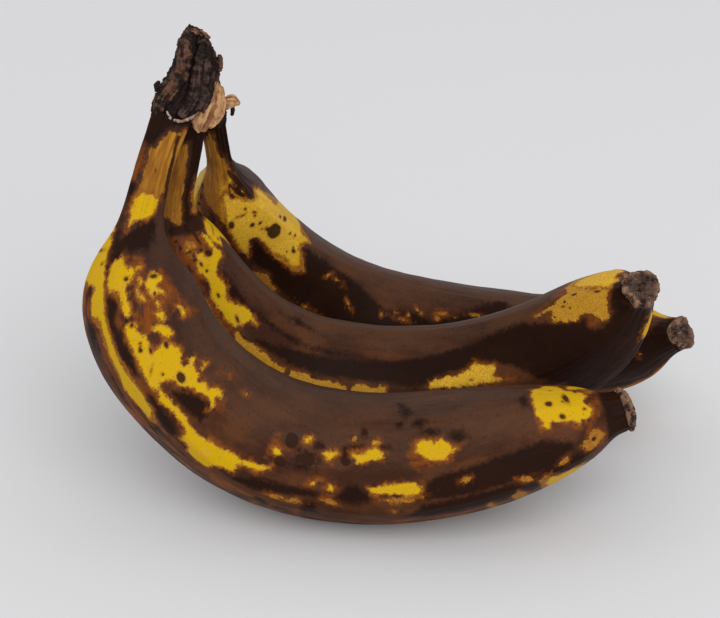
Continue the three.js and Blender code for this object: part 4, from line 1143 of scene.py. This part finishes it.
def crustMaterial():
    # raised grains and the rim are tan, hollows between them near-black painted shade; a grey painted
    # highlight lies on the highest grains
    look = crustLook
    material, bench, shader = newMaterial("blossomCrust")
    where = bench.add("ShaderNodeTexCoord").outputs["Object"]
    grain = bench.grain(where, *look["grain"])
    cloud = bench.grain(where, *look["cloud"])
    height = bench.sum(bench.attribute("rough"), bench.times(grain, look["grainHeight"]),
                       bench.times(cloud, look["cloudHeight"]))
    # painted shade: the pits are turned near-black
    base = bench.mix(bench.step(height, *look["pitShadeTo"]), look["pitShade"], look["crust"])
    # painted highlight: grey on the highest grains
    base = bench.mix(bench.step(bench.sum(grain, cloud), *look["highlightFrom"]), base, look["greyHighlight"])
    worn = bench.times(bench.attribute("rim"), bench.step(height, *look["rimFrom"]))
    base = bench.mix(worn, base, look["rim"])
    finishShader(bench, shader, base, look, look["roughness"], grain)
    return material


for pieces, material in ((skins, skinMaterial()), ([crownStub, tornFibre], tissueMaterial()),
                         (tips, crustMaterial())):
    for piece in pieces:
        piece.data.materials.append(material)
print("materials made")


# Floor, light and camera

stageSetup = {
    "floor": colour(219, 219, 221),
    "floorHalf": 6.0,             # m
    "floorRoughness": 0.9,
    "worldTone": colour(217, 217, 217),
    "worldStrength": 1.03,
    "keyPower": 104.0,
    "keyPlace": (0.7, -3.1, 2.9),
    "keySize": 3.6,
}

cameraSetup = {
    "elevation": 27.0,        # degrees above the horizon
    "distance": 800.0,        # mm from the target
    "target": (0.0, 0.0, 75.0),
    "focalPixels": 2192.0,    # focal length in picture widths of 720
    "pictureWidth": 720.0,
    "sensorWidth": 36.0,
}


def makeFloor():
    # one pale square at z = 0
    half = stageSetup["floorHalf"]
    corners = [(x * half, y * half, 0) for x, y in ((-1, -1), (1, -1), (1, 1), (-1, 1))]
    mesh = bpy.data.meshes.new("floor")
    mesh.from_pydata(corners, [], [(0, 1, 2, 3)])
    floor = addObject("floor", mesh)
    material, _, shader = newMaterial("paleFloor")
    shader.inputs["Base Color"].default_value = stageSetup["floor"]
    shader.inputs["Roughness"].default_value = stageSetup["floorRoughness"]
    floor.data.materials.append(material)


def makeLight():
    # even pale surroundings, and one large soft lamp in front and above
    world = bpy.data.worlds.new("paleRoom")
    bpy.context.scene.world = world
    world.use_nodes = True
    background = world.node_tree.nodes["Background"]
    background.inputs["Color"].default_value = stageSetup["worldTone"]
    background.inputs["Strength"].default_value = stageSetup["worldStrength"]
    lamp = bpy.data.lights.new("softTop", "AREA")
    lamp.energy = stageSetup["keyPower"]
    lamp.size = stageSetup["keySize"]
    key = addObject("softTop", lamp)
    key.location = stageSetup["keyPlace"]
    key.rotation_euler = (-Vector(stageSetup["keyPlace"])).to_track_quat("-Z", "Y").to_euler()


def makeCamera():
    # stands back from the target along the sight line: distance times (0, -cos, sin) of the elevation
    data = bpy.data.cameras.new("camera")
    data.sensor_width = cameraSetup["sensorWidth"]
    data.lens = cameraSetup["focalPixels"] / cameraSetup["pictureWidth"] * data.sensor_width
    camera = addObject("camera", data)
    e = math.radians(cameraSetup["elevation"])
    back = np.array([0, -math.cos(e), math.sin(e)]) * cameraSetup["distance"]
    camera.location = (np.array(cameraSetup["target"]) + seat + back) * mm
    camera.rotation_euler = (math.pi / 2 - e, 0, 0)
    bpy.context.scene.camera = camera


makeFloor()
makeLight()
makeCamera()
bpy.context.scene.view_settings.view_transform = "Standard"
print("stage made")
